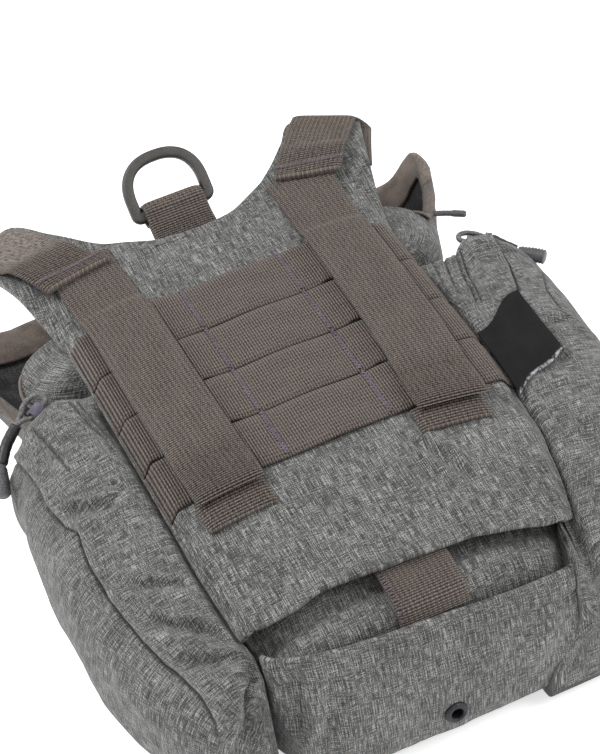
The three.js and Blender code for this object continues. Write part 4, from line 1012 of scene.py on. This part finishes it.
# Ear webbing: on each ear a band with a thick hemmed end, sewn over the back strap, up the ear,
# folded round its outer end and sewn again below. A line of purple stitches follows the slanted hem.
EAR_TUCK, HEM_LENGTH, HEM_THICK, HEM_STITCH_AT = 26, 6, 2.9, 4.4
EAR_HEMS = {"left": (-5.4, 0.43), "right": (-0.4, 0.25)}
EAR_STRAY = {"left": 0.0, "right": 6.0}
EAR_WRAP = PANEL_CLOTH / 2 + EAR_CLEAR
OVER_STRAP = STRAP_CLEAR + WEBBING + 2 * SEAT
SIDES = (("left", -1), ("right", 1))
hem_starts, hem_ends = [], []
for side, sign in SIDES:
    hem_start, hem_slant = EAR_HEMS[side]
    ahead = (sign * math.sin(EAR_ANGLE), math.cos(EAR_ANGLE))
    across = (sign * ahead[1], -sign * ahead[0])
    straight = EAR_LENGTH - hem_start
    half_turn = math.pi * (EAR_WRAP + WEBBING)
    run = rib_stations(straight + half_turn + EAR_TUCK)
    turned_by = np.clip((run - straight) / half_turn, 0, 1) * math.pi
    back_by = np.maximum(0, run - straight - half_turn)
    distance = np.minimum(hem_start + run, EAR_LENGTH) + EAR_WRAP * np.sin(turned_by) - back_by
    up = EAR_CLEAR + (OVER_STRAP - EAR_CLEAR) * (1 - smooth(distance, 12, 20))
    around_end = EAR_WRAP * np.cos(turned_by) - PANEL_CLOTH / 2
    base = np.where(run <= straight, up, around_end)
    thick = WEBBING + (HEM_THICK - WEBBING) * (1 - smooth(run, HEM_LENGTH - 0.4, HEM_LENGTH + 0.6))
    slant = hem_slant * (1 - smooth(distance, 8, 30)) * (run <= straight)
    strayed = smooth(turned_by, 0.5, math.pi) + 0.7 * back_by / EAR_TUCK
    sideways = EAR_SPREAD[side] + EAR_STRAY[side] * strayed
    ear_x = sign * EAR_X + across[0] * sideways
    ear_y = EAR_Y + across[1] * sideways
    lower, upper = band_faces(
        ear_x + ahead[0] * distance, ear_y + ahead[1] * distance, base, thick,
        math.pi / 2 - turned_by, across, ahead, slant)
    name = f"ear_webbing_{side}"
    # The ribs part near the hem end, with painted shade in their gaps; further up the left ear band they
    # flatten and take pale patches of painted light, where that ear faces the light.
    parting_and_painted_light = 0.5 * (1 - smooth(run, 12, 22)) - 0.65 * smooth(run, 12, 30) * (sign < 0)
    band = webbing_mesh(name, lower, upper, run, parting_and_painted_light)
    place_piece(f"ear_band_{side}", band, TAUPE, [name])
    hem_at = int(np.searchsorted(run, HEM_STITCH_AT))
    near_line, far_line = upper[hem_at - 2], upper[hem_at + 3]
    for k in range(len(ACROSS) - 1):
        for part in (0.08, 0.58):
            hem_starts.append(near_line[k] + (near_line[k + 1] - near_line[k]) * part + (0, 0, 0.12))
            hem_ends.append(far_line[k] + (far_line[k + 1] - far_line[k]) * (part + 0.36) + (0, 0, 0.12))
ear_stitches = stitch_mesh("ear_stitches", hem_starts, hem_ends, STOUT_THREAD)
place_piece("ear_stitches", ear_stitches, THREAD)

# Hang loop: webbing sewn under the neck of the back panel, folded round the ring's bar and back.
# It is ribbed like the rows and a little narrower. Running stitches hold the neck above it.
RING_WIDTH, RING_HEIGHT, RING_BAR, RING_BEVEL, LOOP_WIDTH = 34, 25.8, 4.4, 0.9, 24.4
RING_AT = np.array([LOOP_X, 99.5, 78.2])
LOOP_RADIUS = RING_BAR / 2 + RING_BEVEL + SEAT + WEBBING / 2
ROOT_TOP = BACK_HEIGHT - PANEL_CLOTH - SEAT - WEBBING / 2
LOOP_MOUTH = math.radians(150)
loop_arc = [
    (RING_AT[1] + LOOP_RADIUS * math.cos(angle), RING_AT[2] + LOOP_RADIUS * math.sin(angle))
    for angle in np.linspace(LOOP_MOUTH, -LOOP_MOUTH, 15)]
loop_points = [
    (LOOP_FROM, ROOT_TOP), (82, ROOT_TOP), (86, ROOT_TOP + 0.7), (90.5, ROOT_TOP + WEBBING + 0.4), *loop_arc,
    (90, ROOT_TOP - WEBBING - 0.4), (84, ROOT_TOP - WEBBING - 0.3), (LOOP_FROM, ROOT_TOP - WEBBING - 0.2)]
loop_line, loop_way, loop_run = curve_through([(0, y, z) for y, z in loop_points], RIB_PITCH / RIB_STEPS)
loop_up = np.stack([0 * loop_run, -loop_way[:, 2], loop_way[:, 1]], axis=1)
loop_across = ACROSS * LOOP_WIDTH / WEBBING_WIDTH
loop_middle = loop_line[:, None, :] + np.stack([LOOP_X + loop_across, 0 * ACROSS, 0 * ACROSS], axis=1)[None]
loop_lower = loop_middle - loop_up[:, None, :] * WEBBING / 2
loop_upper = loop_middle + loop_up[:, None, :] * WEBBING / 2
# Ribs part where the loop bends out from under the neck, with painted shade in their gaps.
loop_parting_and_painted_light = 0.9 * (1 - smooth(loop_run, 12, 21)) + 0.1
loop_band = webbing_mesh("hang_loop", loop_lower, loop_upper, loop_run, loop_parting_and_painted_light)
place_piece("ring_loop", loop_band, TAUPE, ["hang_loop"])
NECK_SEAM_Y, NECK_SEAM_BOW, NECK_SEAM_HALF = 80.3, 0.006, 15
neck_across = np.linspace(-NECK_SEAM_HALF, NECK_SEAM_HALF, 7)
neck_line = [(LOOP_X + x, NECK_SEAM_Y + NECK_SEAM_BOW * x * x) for x in neck_across]
neck_starts, neck_ends = running_stitches(neck_line, 0.15, 1.9, 0.7)
neck_stitches = stitch_mesh("neck_stitches", neck_starts, neck_ends, FINE_THREAD)
place_piece("neck_stitches", neck_stitches, THREAD)

# D-ring: one moulding of dark grey plastic, a straight bar and a round bow with softened edges.
# It swings in the hang loop.
RING_PLASTIC = moulded_material("ring_grey", colour(52, 51, 49), colour(86, 84, 80), 1900, 0.00003)
RING_TILT = math.radians(43)
bow_y = RING_HEIGHT - RING_WIDTH / 2 - RING_BAR / 2
bow_radius = RING_WIDTH / 2 - RING_BAR / 2
BOW_SQUARE = 2.4
bow_turn = np.linspace(0, math.pi, 90)
bow_x = bow_radius * np.sign(np.cos(bow_turn)) * abs(np.cos(bow_turn)) ** (2 / BOW_SQUARE)
bow = list(zip(bow_x, bow_y + bow_radius * np.sin(bow_turn) ** (2 / BOW_SQUARE)))
CORNER = 1.6
quarter = np.linspace(0, math.pi / 2, 8)
left_corner = [(-bow_radius + CORNER - CORNER * math.cos(t), CORNER - CORNER * math.sin(t)) for t in quarter]
right_corner = [(bow_radius - CORNER + CORNER * math.sin(t), CORNER - CORNER * math.cos(t)) for t in quarter]
bar = [(x, 0.0) for x in np.linspace(-bow_radius + CORNER, bow_radius - CORNER, 30)[1:-1]]
ring_line = np.array([*bow, *left_corner, *bar, *right_corner])
ring_way = np.roll(ring_line, -1, axis=0) - np.roll(ring_line, 1, axis=0)
ring_way /= np.linalg.norm(ring_way, axis=1, keepdims=True)
ring_out = np.stack([ring_way[:, 1], -ring_way[:, 0]], axis=1)
SECTION_COUNT, SECTION_SQUARE = 28, 3.6
section_turn = np.linspace(0, 2 * math.pi, SECTION_COUNT, endpoint=False)
pull = abs(np.cos(section_turn)) ** SECTION_SQUARE + abs(np.sin(section_turn)) ** SECTION_SQUARE
pull = pull ** (1 / SECTION_SQUARE)
section = np.stack([np.cos(section_turn), np.sin(section_turn)], axis=1) / pull[:, None] * RING_BAR / 2
ring_points = np.zeros((len(ring_line), SECTION_COUNT, 3))
ring_points[..., :2] = ring_line[:, None, :] + ring_out[:, None, :] * section[None, :, :1]
ring_points[..., 2] = section[None, :, 1]
tilted = np.array([
    (1, 0, 0), (0, math.cos(RING_TILT), math.sin(RING_TILT)), (0, -math.sin(RING_TILT), math.cos(RING_TILT))])
ring_points = ring_points.reshape(-1, 3) @ tilted + RING_AT
ring_faces = []
for r in range(len(ring_line)):
    n = (r + 1) % len(ring_line)
    for k in range(SECTION_COUNT):
        m = (k + 1) % SECTION_COUNT
        here, there = r * SECTION_COUNT, n * SECTION_COUNT
        ring_faces.append(np.array([here + k, here + m, there + m, there + k]))
ring_mesh = mesh_of("d_ring", ring_points, ring_faces, [np.zeros((4, 3)) for _ in ring_faces])
place_piece("swing_ring", ring_mesh, RING_PLASTIC, ["d_ring"], "ring")

# Bottom tab: a webbing pull that comes out from under the back panel's hem and tucks behind the lip.
# It is a plain length of webbing with finer ribs; a line of stitches binds its left edge.
TAB_POINTS = [(-98, 71.2), (-110, 70.2), (-117, 69.0), (-122.2, 66.6), (-125, 61.6)]
tab_line, tab_way, tab_run = curve_through([(0, y, z) for y, z in TAB_POINTS], RIB_PITCH / RIB_STEPS)
tab_up = np.stack([0 * tab_run, tab_way[:, 2], -tab_way[:, 1]], axis=1)
tab_lower = tab_line[:, None, :] + np.stack([LOOP_X + ACROSS, 0 * ACROSS, 0 * ACROSS], axis=1)[None]
tab_upper = tab_lower + tab_up[:, None, :] * WEBBING
TAB_RIB = 0.85
# Its rib gaps get a little painted shade.
tab_mesh = webbing_mesh("bottom_tab", tab_lower, tab_upper, tab_run, 0.1, TAB_RIB)
place_piece("pull_tab", tab_mesh, TAUPE, ["bottom_tab"])
EDGE_FROM, EDGE_STEP, EDGE_LEFT = 12, 6, 8
edge_at = np.arange(int(EDGE_FROM / (RIB_PITCH / RIB_STEPS)), len(tab_run) - EDGE_LEFT, EDGE_STEP)
edge_starts = tab_upper[edge_at, 0] + tab_up[edge_at] * 0.05
edge_ends = tab_upper[edge_at, 1] + tab_up[edge_at] * 0.2
tab_stitches = stitch_mesh("tab_stitches", edge_starts, edge_ends, FINE_THREAD)
place_piece("tab_stitches", tab_stitches, THREAD)

# Side pockets: gusseted pockets of the heathered cloth off each side, open at the top. A seam runs round
# the outer edge of the gusset; slack cloth lies in soft folds across it.
POCKET = [
    (-131, 15, 47, 17, 0), (-129, 26, 55, 9, 0), (-124, 34, 61.5, 3.5, 0), (-110, 40, 66.5, 0.6, 1),
    (-80, 43, 69.5, 0.3, 2), (-40, 43.5, 70.4, 0.3, 4), (-5, 42.5, 70.2, 0.6, 7), (10, 40, 68.6, 3, 10),
    (20, 40, 68.2, 4, 10), (38, 37, 66, 8, 9),
]
POCKET_RIM_NEAR, POCKET_RIM_FAR, POCKET_SQUARE = 36, 24, 2.8
SEAM_VALLEY, SEAM_VALLEY_WIDTH = 5.0, 2.6
POCKET_DIPS = {"left": (8.0, 0.05, 0.42), "right": (7.5, 0.3, 0.52)}
POCKET_SEAMS = {
    "left": [
        (-100.8, 24), (-98.8, 10.8), (-98.5, 1.7), (-99.1, -10.6), (-97.9, -19.2), (-96.8, -26.7),
        (-94.2, -32.8), (-95.2, -39.4), (-96.2, -49.7), (-96, -64.6), (-94.6, -76.5), (-92.4, -88.4),
        (-89.7, -100.7), (-85.5, -111.3), (-83.8, -118), (-82.7, -125), (-84, -131)],
    "right": [
        (98.2, 30), (97.7, 24), (96.9, 14), (93.2, 1.3), (90.3, -5.8), (89.4, -12.5), (89.2, -24), (90, -44),
        (92, -70), (90, -100), (84, -131)],
}
POCKET_CREASES = {
    "left": [
        ([(-98, -18.5), (-93.5, -21.4), (-88, -26.8), (-80.6, -29.3), (-72, -28.4)], 2.4, 2.8, 0.55),
        ([(-76, -20), (-73.5, -28)], 1.6, 1.8, 1.0),
        ([(-94, -59), (-84.4, -69.5), (-70, -78), (-65, -86)], 1.9, 2.6, 0.5),
        ([(-93, -75), (-84, -88), (-73, -98.8), (-61, -113)], 2.5, 2.8, 0.5),
        ([(-89, -101), (-74.6, -111.3), (-60, -115.5)], 2.4, 2.6, 0.5),
        ([(-84, -3), (-76, -8), (-69, -12)], 0.9, 1.2, 1.0),
        ([(-92, -42), (-82, -48), (-70, -47)], 0.8, 3.0, 1.0),
    ],
    "right": [
        ([(92, -23), (97, -24), (104, -21)], 1.3, 2.4, 0.7),
        ([(64, -63), (76, -60), (92, -64)], 1.3, 3.0, 1.0),
        ([(64, -90), (80, -84), (96, -88)], 1.4, 3.4, 1.0),
    ],
}
POCKET_RUMPLE = {"left": [(0.75, 15, 30), (0.3, 6, 40)], "right": [(0.75, 15, 32), (0.3, 6, 42)]}
POCKET_PLEATS = {
    "left": [
        [(-74, 29), (-72, 10.7), (-70, 1.8), (-69.9, -10)],
        [(-71.5, 27), (-69.8, 10.7), (-68.4, 1.8), (-68, -8)],
        [(-90, 25), (-87.7, 8.6), (-86.4, -9)]],
    "right": [
        [(72.7, 33), (69.6, 16.5), (68, 6)], [(77, 31), (73.5, 16), (71, 4)],
        [(81.5, 29), (78.3, 16.2), (76.6, 5.4), (73.8, -6.2)],
        [(83.4, 29), (80.2, 16.2), (78.4, 5.4), (75.6, -6.2)],
        [(108.5, 11), (105, 2), (102.2, -5.6), (101.1, -16), (103.6, -20.7), (107.5, -26)]],
}
CORNER_FOLD = [(-58, 72), (-66.5, 62.7), (-74.7, 46), (-80, 30), (-84, 14)]
HEM_HUMP, HEM_HUMP_X, HEM_HUMP_WIDTH, HEM_SHOULDER = 5.0, 95, 12, 6.0


def pocket_inner(sign, y):
    centre, half = row_at(BODY, np.minimum(y, WALL_TOP))[:2]
    return sign * (np.maximum(half, BOTTOM_HALF) + 2 * SEAT) + centre


def pocket_row(sign, y):
    reach, back, front, swell = row_at(POCKET, y)
    return reach + (swell if sign > 0 else 0), back, front


def pocket_point(sign, out, up, y):
    """Outside of a side pocket: out and up say where, on a half square pulled round."""
    reach, back, front = pocket_row(sign, y)
    pull = np.where(out == 0, 1, (out ** POCKET_SQUARE + abs(up) ** POCKET_SQUARE) ** (1 / POCKET_SQUARE))
    half = (back - front) / 2
    return np.stack([
        pocket_inner(sign, y) + sign * out / pull * reach, y, (back + front) / 2 + up / pull * half], axis=-1)


SIDE_STEPS = (100, 44, 20, 10)
turn = np.concatenate([k + np.arange(count) / count for k, count in enumerate(SIDE_STEPS)])[None, :]
out = np.interp(turn, [0, 1, 2, 3, 4], [0, 1, 1, 0, 0])
up = np.interp(turn, [0, 1, 2, 3, 4], [1, 1, -1, -1, 1])
POCKET_END, POCKET_WALL, POCKET_HEM = -131, -119, -2
pocket_low = np.concatenate([
    np.linspace(POCKET_END, POCKET_WALL, 16, endpoint=False), np.linspace(POCKET_WALL, POCKET_HEM, 150)])
rim_share = np.linspace(0, 1, 30)[1:, None]
END_ROWS, END_BULGE, END_ROUND = 14, 1.2, 6.0
end_share = np.linspace(0.04, 1, END_ROWS, endpoint=False)[:, None, None]
GIRTH_ROW = 90

for side, sign in SIDES:
    dip, dip_from, dip_to = POCKET_DIPS[side]
    pocket_rim = POCKET_RIM_NEAR + (POCKET_RIM_FAR - POCKET_RIM_NEAR) * out ** 2
    pocket_rim = pocket_rim - dip * (1 - smooth(out, dip_from, dip_to))
    if sign > 0:
        pocket_rim = pocket_rim + HEM_SHOULDER * smooth(out, 0.68, 0.84) * smooth(up, -0.2, 0.4)
    hem_rows = POCKET_HEM + (pocket_rim - POCKET_HEM) * rim_share
    pocket_y = np.concatenate([pocket_low[:, None] + 0 * turn, hem_rows])
    pocket = pocket_point(sign, out + 0 * pocket_y, up + 0 * pocket_y, pocket_y)
    slump = smooth(-pocket_y, 85, 118) * (1 - out)
    if sign > 0:
        pocket[..., 2] -= 0.75 * pocket[..., 2] * smooth(-pocket_y, 105, 131) * smooth(-up, -0.6, 0.9)
        hang = smooth(-pocket[..., 2], -64, -48), smooth(-pocket[..., 2], -38, -10)
        pocket[..., 0] -= (4 + 3 * hang[0] + 13 * hang[1]) * slump
    else:
        pocket[..., 0] += 7 * smooth(-pocket_y, 60, 125) * out
        pocket[..., 0] -= END_ROUND * (1 - out) ** 3 * smooth(-pocket_y, 119, 133)
        pocket[..., 1] += END_ROUND * (1 - out) ** 3 * smooth(-pocket_y, 121, 131)
    middle = pocket[0].mean(axis=0)
    end = middle + (pocket[0] - middle) * end_share
    end[..., 1] -= END_BULGE * (1 - end_share[..., 0] ** 2)
    pocket = np.concatenate([end, pocket])
    pocket_out = turned_out(grid_normals(pocket, loop=True), (60, 130), (sign, 0, 0))
    pocket_out[:END_ROWS + 1] = (0, -1, 0)
    girth = arc_lengths(pocket, 1)
    along = arc_lengths(pocket, 0)[:, :SIDE_STEPS[0]].mean(axis=1)[:, None]
    px, py, pz = [pocket[..., k] for k in range(3)]
    free = smooth(out, 0.0, 0.2) * smooth(py, POCKET_END, -120)
    shape = rumpled(girth, py, POCKET_RUMPLE[side])
    topside = smooth(pocket_out[..., 2], 0.05, 0.35)
    for line, depth, width, steep in POCKET_CREASES[side]:
        shape = shape + topside * crease(px, py, line, depth, width, steep)
    pleat_soil_and_shade = np.zeros_like(px)
    for line in POCKET_PLEATS[side]:
        away, _, run_share = from_line(px, py, line)
        tuck = topside * smooth(1 - run_share, 0, 0.15)
        shape = shape + tuck * (0.35 * bell(away, 1.1, 0.7) - 1.0 * bell(away, 0, 0.5))
        pleat_soil_and_shade = np.maximum(pleat_soil_and_shade, tuck * bell(away, 0, 0.4))
    seam_line = np.array(POCKET_SEAMS[side][::-1], float)
    from_seam = from_line(px, py, seam_line)[0]
    from_seam = from_seam * np.sign((px - np.interp(py, seam_line[:, 1], seam_line[:, 0])) * sign)
    seam_shape = 0.8 * bell(from_seam, -1.3, 1.1) - 1.7 * bell(from_seam, 0, 0.6)
    seam_shape = seam_shape - 0.6 * smooth(from_seam, 0, 1.2) * bell(from_seam, 0, 6)
    seam_share = topside * (smooth(py, -60, -30) if sign > 0 else 1.0)
    shape = shape + seam_share * seam_shape
    below_rim = pocket_rim - py
    shape = shape - 0.5 * bell(below_rim, 9, 0.9) + 0.3 * bell(below_rim, 4, 3)
    shape = shape * free
    if sign < 0:
        fold_share = smooth(-py, 112, 121) * np.where(turn < 3, smooth(out, 0.0, 0.12), 0)
        shape = shape + fold_share * crease(px, pz, CORNER_FOLD, 5.0, 2.6, 0.6, 0.3, 0.12)
    pocket = pocket + pocket_out * shape[..., None]
    valley = SEAM_VALLEY * bell(px, pocket_inner(sign, py), SEAM_VALLEY_WIDTH)
    pocket[..., 2] -= valley * (up > 0) * smooth(pz, 30, 60) * smooth(below_rim, 2, 14)
    if sign > 0:
        hump = HEM_HUMP * bell(px, HEM_HUMP_X, HEM_HUMP_WIDTH) * (up > 0)
        pocket[..., 2] += hump * smooth(-below_rim, -16, -1)
    pocket[..., 2] = np.maximum(pocket[..., 2], 0.2)
    inner = pocket - pocket_out * CLOTH
    inner[..., 0] = np.where(out + 0 * px < 0.02, pocket[..., 0] + sign * CLOTH, inner[..., 0])
    # Pale at the rim's edge, rubbed, and along the seam's raised edge; darkened in the seam's groove and
    # along the pleats: painted shade, with dirt.
    wear_and_painted_light = 0.6 * bell(below_rim, 0, 1.0) + 0.3 * seam_share * bell(from_seam, -1.2, 0.8)
    wear_and_painted_light = wear_and_painted_light - 0.9 * seam_share * bell(from_seam, 0.1, 0.45) - 0.6 * pleat_soil_and_shade
    at_end = np.arange(len(px))[:, None] < END_ROWS
    girth = np.where(at_end, abs(px - pocket_inner(sign, POCKET_END)), girth[GIRTH_ROW])
    along = np.where(at_end, along[END_ROWS] - pz[END_ROWS] + pz, along)
    thread = weave_of(
        np.concatenate([along, along[:, :1]], axis=1), np.concatenate([girth, girth[:, -1:] + 1], axis=1),
        np.concatenate([wear_and_painted_light, wear_and_painted_light[:, :1]], axis=1))
    name = f"side_pocket_{side}"
    mesh = sheet_mesh(name, pocket, inner, thread, loop=True, cap=True)
    place_piece(f"gusset_pocket_{side}", mesh, HEATHER, [name])

# Care label: a bare black woven ribbon caught in the right seam, lying over the pocket.
# Its lower edge is frayed pale.
LABEL_START, LABEL_LENGTH, LABEL_REACH, LABEL_SKEW, LABEL_INSET = -57, 36, 24, 15.2, 1.2
LABEL_WIDTH, LABEL_CLOTH, LABEL_CLEAR = 28, 0.7, 1.0
LABEL_BLACK = woven_material(
    "label_black", plain_weave, {"Dark": colour(6, 6, 7), "Light": colour(22, 22, 24)},
    colour(196, 196, 200), 0.00015, 0.8)
label_along, label_out = np.meshgrid(np.linspace(0, 1, 70), np.linspace(0, 1, 44), indexing="ij")
label_y = LABEL_START + label_along * LABEL_LENGTH + label_out * LABEL_SKEW
label_y = label_y + 1.4 * np.sin(2 * math.pi * label_out) * (1 - 2.2 * label_along)
label_x = pocket_inner(1, label_y) + LABEL_INSET + label_out * LABEL_REACH
reach, back, front = pocket_row(1, label_y)
label_share = np.clip((label_x - pocket_inner(1, label_y)) / reach, 0, 0.98)
label_z = (back + front) / 2 + (back - front) / 2 * (1 - label_share ** POCKET_SQUARE) ** (1 / POCKET_SQUARE)
label_z = label_z + LABEL_CLEAR + 0.5 * np.sin(label_along * 5 + label_out * 2) * label_out
label = np.stack([label_x, label_y, label_z], axis=-1)
label_wear = 1 - smooth(label_along, 0.015, 0.04) + 0 * label_out
label_mesh = sheet_mesh(
    "care_label", label + (0, 0, LABEL_CLOTH), label,
    weave_of(label_along * LABEL_LENGTH, label_out * LABEL_WIDTH, label_wear))
label_piece = place_piece("seam_label", label_mesh, LABEL_BLACK, ["care_label"])

# Pocket pulls: on each pocket hem a ribbon loop holds a loop of braided grey cord, whose ends go into
# a black shrink sleeve and a ribbed grey moulded end.
PULL_CORD, PULL_SLEEVE, PULL_END = 2.1, 4.4, 5.5
RIBBON_OUTER, RIBBON_HOLE, RIBBON_WIDTH = 2.6, 1.8, 5
PULLS = {
    "left": (0.6, [
        (-93.5, 37, 59.5), (-91.3, 38.3, 61.2), (-88.6, 41.6, 62.4), (-84.4, 42.6, 64.2), (-81, 40.2, 65.5),
        (-80.9, 36.9, 65.3), (-83.2, 35.3, 64.4), (-85.7, 34.4, 63.4), (-88.2, 33.6, 62.4),
        (-90.9, 34.6, 61.9), (-93.5, 35.4, 60.6)],
        [(-93.9, 36, 59.8), (-100, 33, 54.8), (-104.2, 28, 51.6)],
        [(-104.8, 27, 51.2), (-108.4, 15.6, 48.6)]),
    "right": (0.62, [
        (99.5, 37.5, 59.5), (97.3, 38.8, 61), (94.6, 40, 62.6), (90.6, 40.3, 64.4), (87.8, 38.9, 65.3),
        (87.2, 36.9, 65.2), (89.1, 35.4, 64.3), (91.6, 34.6, 63.4), (94.1, 34.3, 62.5),
        (96.7, 35.2, 62), (99.2, 36.4, 61.3)],
        [(99.8, 36.6, 60), (103.4, 33.6, 57.4), (107, 30.4, 55.4)],
        [(107.8, 29.7, 55.1), (115.2, 22.2, 54.2)]),
}
CORD_GREY = moulded_material("braided_cord", colour(44, 44, 46), colour(150, 148, 146), 1300, 0.0001)
SLEEVE_BLACK = moulded_material("shrink_sleeve", colour(26, 26, 28), colour(58, 58, 60), 1400, 0.00004)
END_GREY = moulded_material("pull_end_grey", colour(66, 65, 68), colour(110, 108, 110), 1700, 0.00004)
RIBBON = woven_material(
    "pull_ribbon", plain_weave, {"Dark": colour(74, 70, 82), "Light": colour(124, 118, 132)},
    colour(150, 146, 156), 0.00015, 0.8)


def tube_mesh(name, points, step, radius, sides):
    """A closed round bar along a curve; radius is given by the distance along it and the way round."""
    line, way, even = curve_through(points, step)
    side = np.cross(way[0], (0, 0, 1.0))
    frames = []
    for tangent in way:
        side = side - tangent * side.dot(tangent)
        side = side / np.linalg.norm(side)
        frames.append((side, np.cross(tangent, side)))
    frames = np.array(frames)
    angle = np.linspace(0, 2 * math.pi, sides, endpoint=False)
    size = radius(even[:, None], angle[None, :], even[-1])[..., None]
    cosine, sine = np.cos(angle)[None, :, None], np.sin(angle)[None, :, None]
    spokes = frames[:, 0, None] * cosine + frames[:, 1, None] * sine
    skin = line[:, None] + spokes * size
    count = len(line)
    points = np.concatenate([skin.reshape(-1, 3), line[:1], line[-1:]])
    faces = []
    for k in range(sides):
        n = (k + 1) % sides
        faces.extend(np.array([r * sides + k, r * sides + n, (r + 1) * sides + n, (r + 1) * sides + k])
                     for r in range(count - 1))
        faces.append(np.array([count * sides, n, k]))
        faces.append(np.array([count * sides + 1, (count - 1) * sides + k, (count - 1) * sides + n]))
    return mesh_of(name, points, faces, [np.zeros((len(f), 3)) for f in faces]), line


def braid(run, angle, length):
    plait = np.cos(4 * angle + run * 3.4) * np.cos(4 * angle - run * 3.4)
    return PULL_CORD / 2 * (0.95 + 0.07 * plait)


def sleeve(run, angle, length):
    ends = np.minimum(1, np.minimum(run, length - run) / 0.5)
    return PULL_SLEEVE / 2 * (0.86 + 0.14 * np.sqrt(ends)) + 0.05 * np.sin(run * 2.1 + angle)


def ribbed_end(run, angle, length):
    flare = 0.78 + 0.22 * smooth(run, 0, length * 0.7)
    ribs = 0.06 * np.cos(2 * math.pi * run / 1.25)
    ends = np.sqrt(np.clip(np.minimum(run, length - run) / 0.5, 0.05, 1))
    return PULL_END / 2 * (flare + ribs) * (0.75 + 0.25 * ends) + 0 * angle


for side, sign in SIDES:
    hem_share, cord_points, sleeve_points, end_points = PULLS[side]
    hem_points = []
    for at in (hem_share, hem_share + 0.1):
        y = np.array(POCKET_RIM_NEAR + (POCKET_RIM_FAR - POCKET_RIM_NEAR) * at ** 2)
        reach, back, front = pocket_row(sign, y)
        pull = (at ** POCKET_SQUARE + 1) ** (1 / POCKET_SQUARE)
        half = (back - front) / 2
        hem_points.append(np.array([
            float(pocket_inner(sign, y) + sign * reach * at / pull), float(y),
            float(back - half + half / pull - CLOTH / 2)]))
    seat, hem_way = hem_points[0], hem_points[1] - hem_points[0]
    hem_way /= np.linalg.norm(hem_way)
    seat[1] += RIBBON_OUTER + SEAT
    ribbon_side = np.cross(hem_way, (0, 0, 1.0))
    ribbon_side /= np.linalg.norm(ribbon_side)
    ribbon_profile = [(RIBBON_OUTER, d) for d in np.linspace(-0.5, 0.5, 9) * RIBBON_WIDTH]
    ribbon_profile += [(RIBBON_HOLE, d) for d in np.linspace(0.5, -0.5, 9) * RIBBON_WIDTH]
    ribbon_mesh = turned_mesh(f"pull_ribbon_{side}", seat, hem_way, ribbon_side, ribbon_profile, 40)
    place_piece(f"ribbon_loop_{side}", ribbon_mesh, RIBBON, [f"pull_ribbon_{side}"])
    sleeve_mesh, _ = tube_mesh(f"pull_sleeve_{side}", sleeve_points, 0.3, sleeve, 24)
    sleeve_piece = place_piece(
        f"black_sleeve_{side}", sleeve_mesh, SLEEVE_BLACK, [f"pull_sleeve_{side}"])
    end_mesh, _ = tube_mesh(f"pull_end_{side}", end_points, 0.15, ribbed_end, 28)
    end_piece = place_piece(f"ribbed_end_{side}", end_mesh, END_GREY, [f"pull_end_{side}"])
    cord_mesh, cord_line = tube_mesh(f"pull_cord_{side}", cord_points, 0.2, braid, 24)
    cord_piece = place_piece(f"cord_loop_{side}", cord_mesh, CORD_GREY, [f"pull_cord_{side}"])

# Collar cord end: the tipped end of the collar's drawcord, sticking out at the right of the mouth.
# A grey cap is moulded over the cord.
CORD_TIP = [(91.5, 77.2, 47.9), (98, 74.8, 47.2), (105.6, 71.4, 45.8)]
CORD_TIP_THICK = 2.8


def tip(run, angle, length):
    ends = np.sqrt(np.clip(np.minimum(run, length - run) / 0.8, 0.02, 1))
    cap = 0.82 + 0.18 * smooth(run, length * 0.62, length * 0.66)
    return CORD_TIP_THICK / 2 * cap * (0.55 + 0.45 * ends) + 0.03 * np.cos(6 * angle + 4 * run)


tip_mesh, _ = tube_mesh("collar_cord_end", CORD_TIP, 0.15, tip, 24)
place_piece("drawcord_tip", tip_mesh, END_GREY, ["collar_cord_end"])
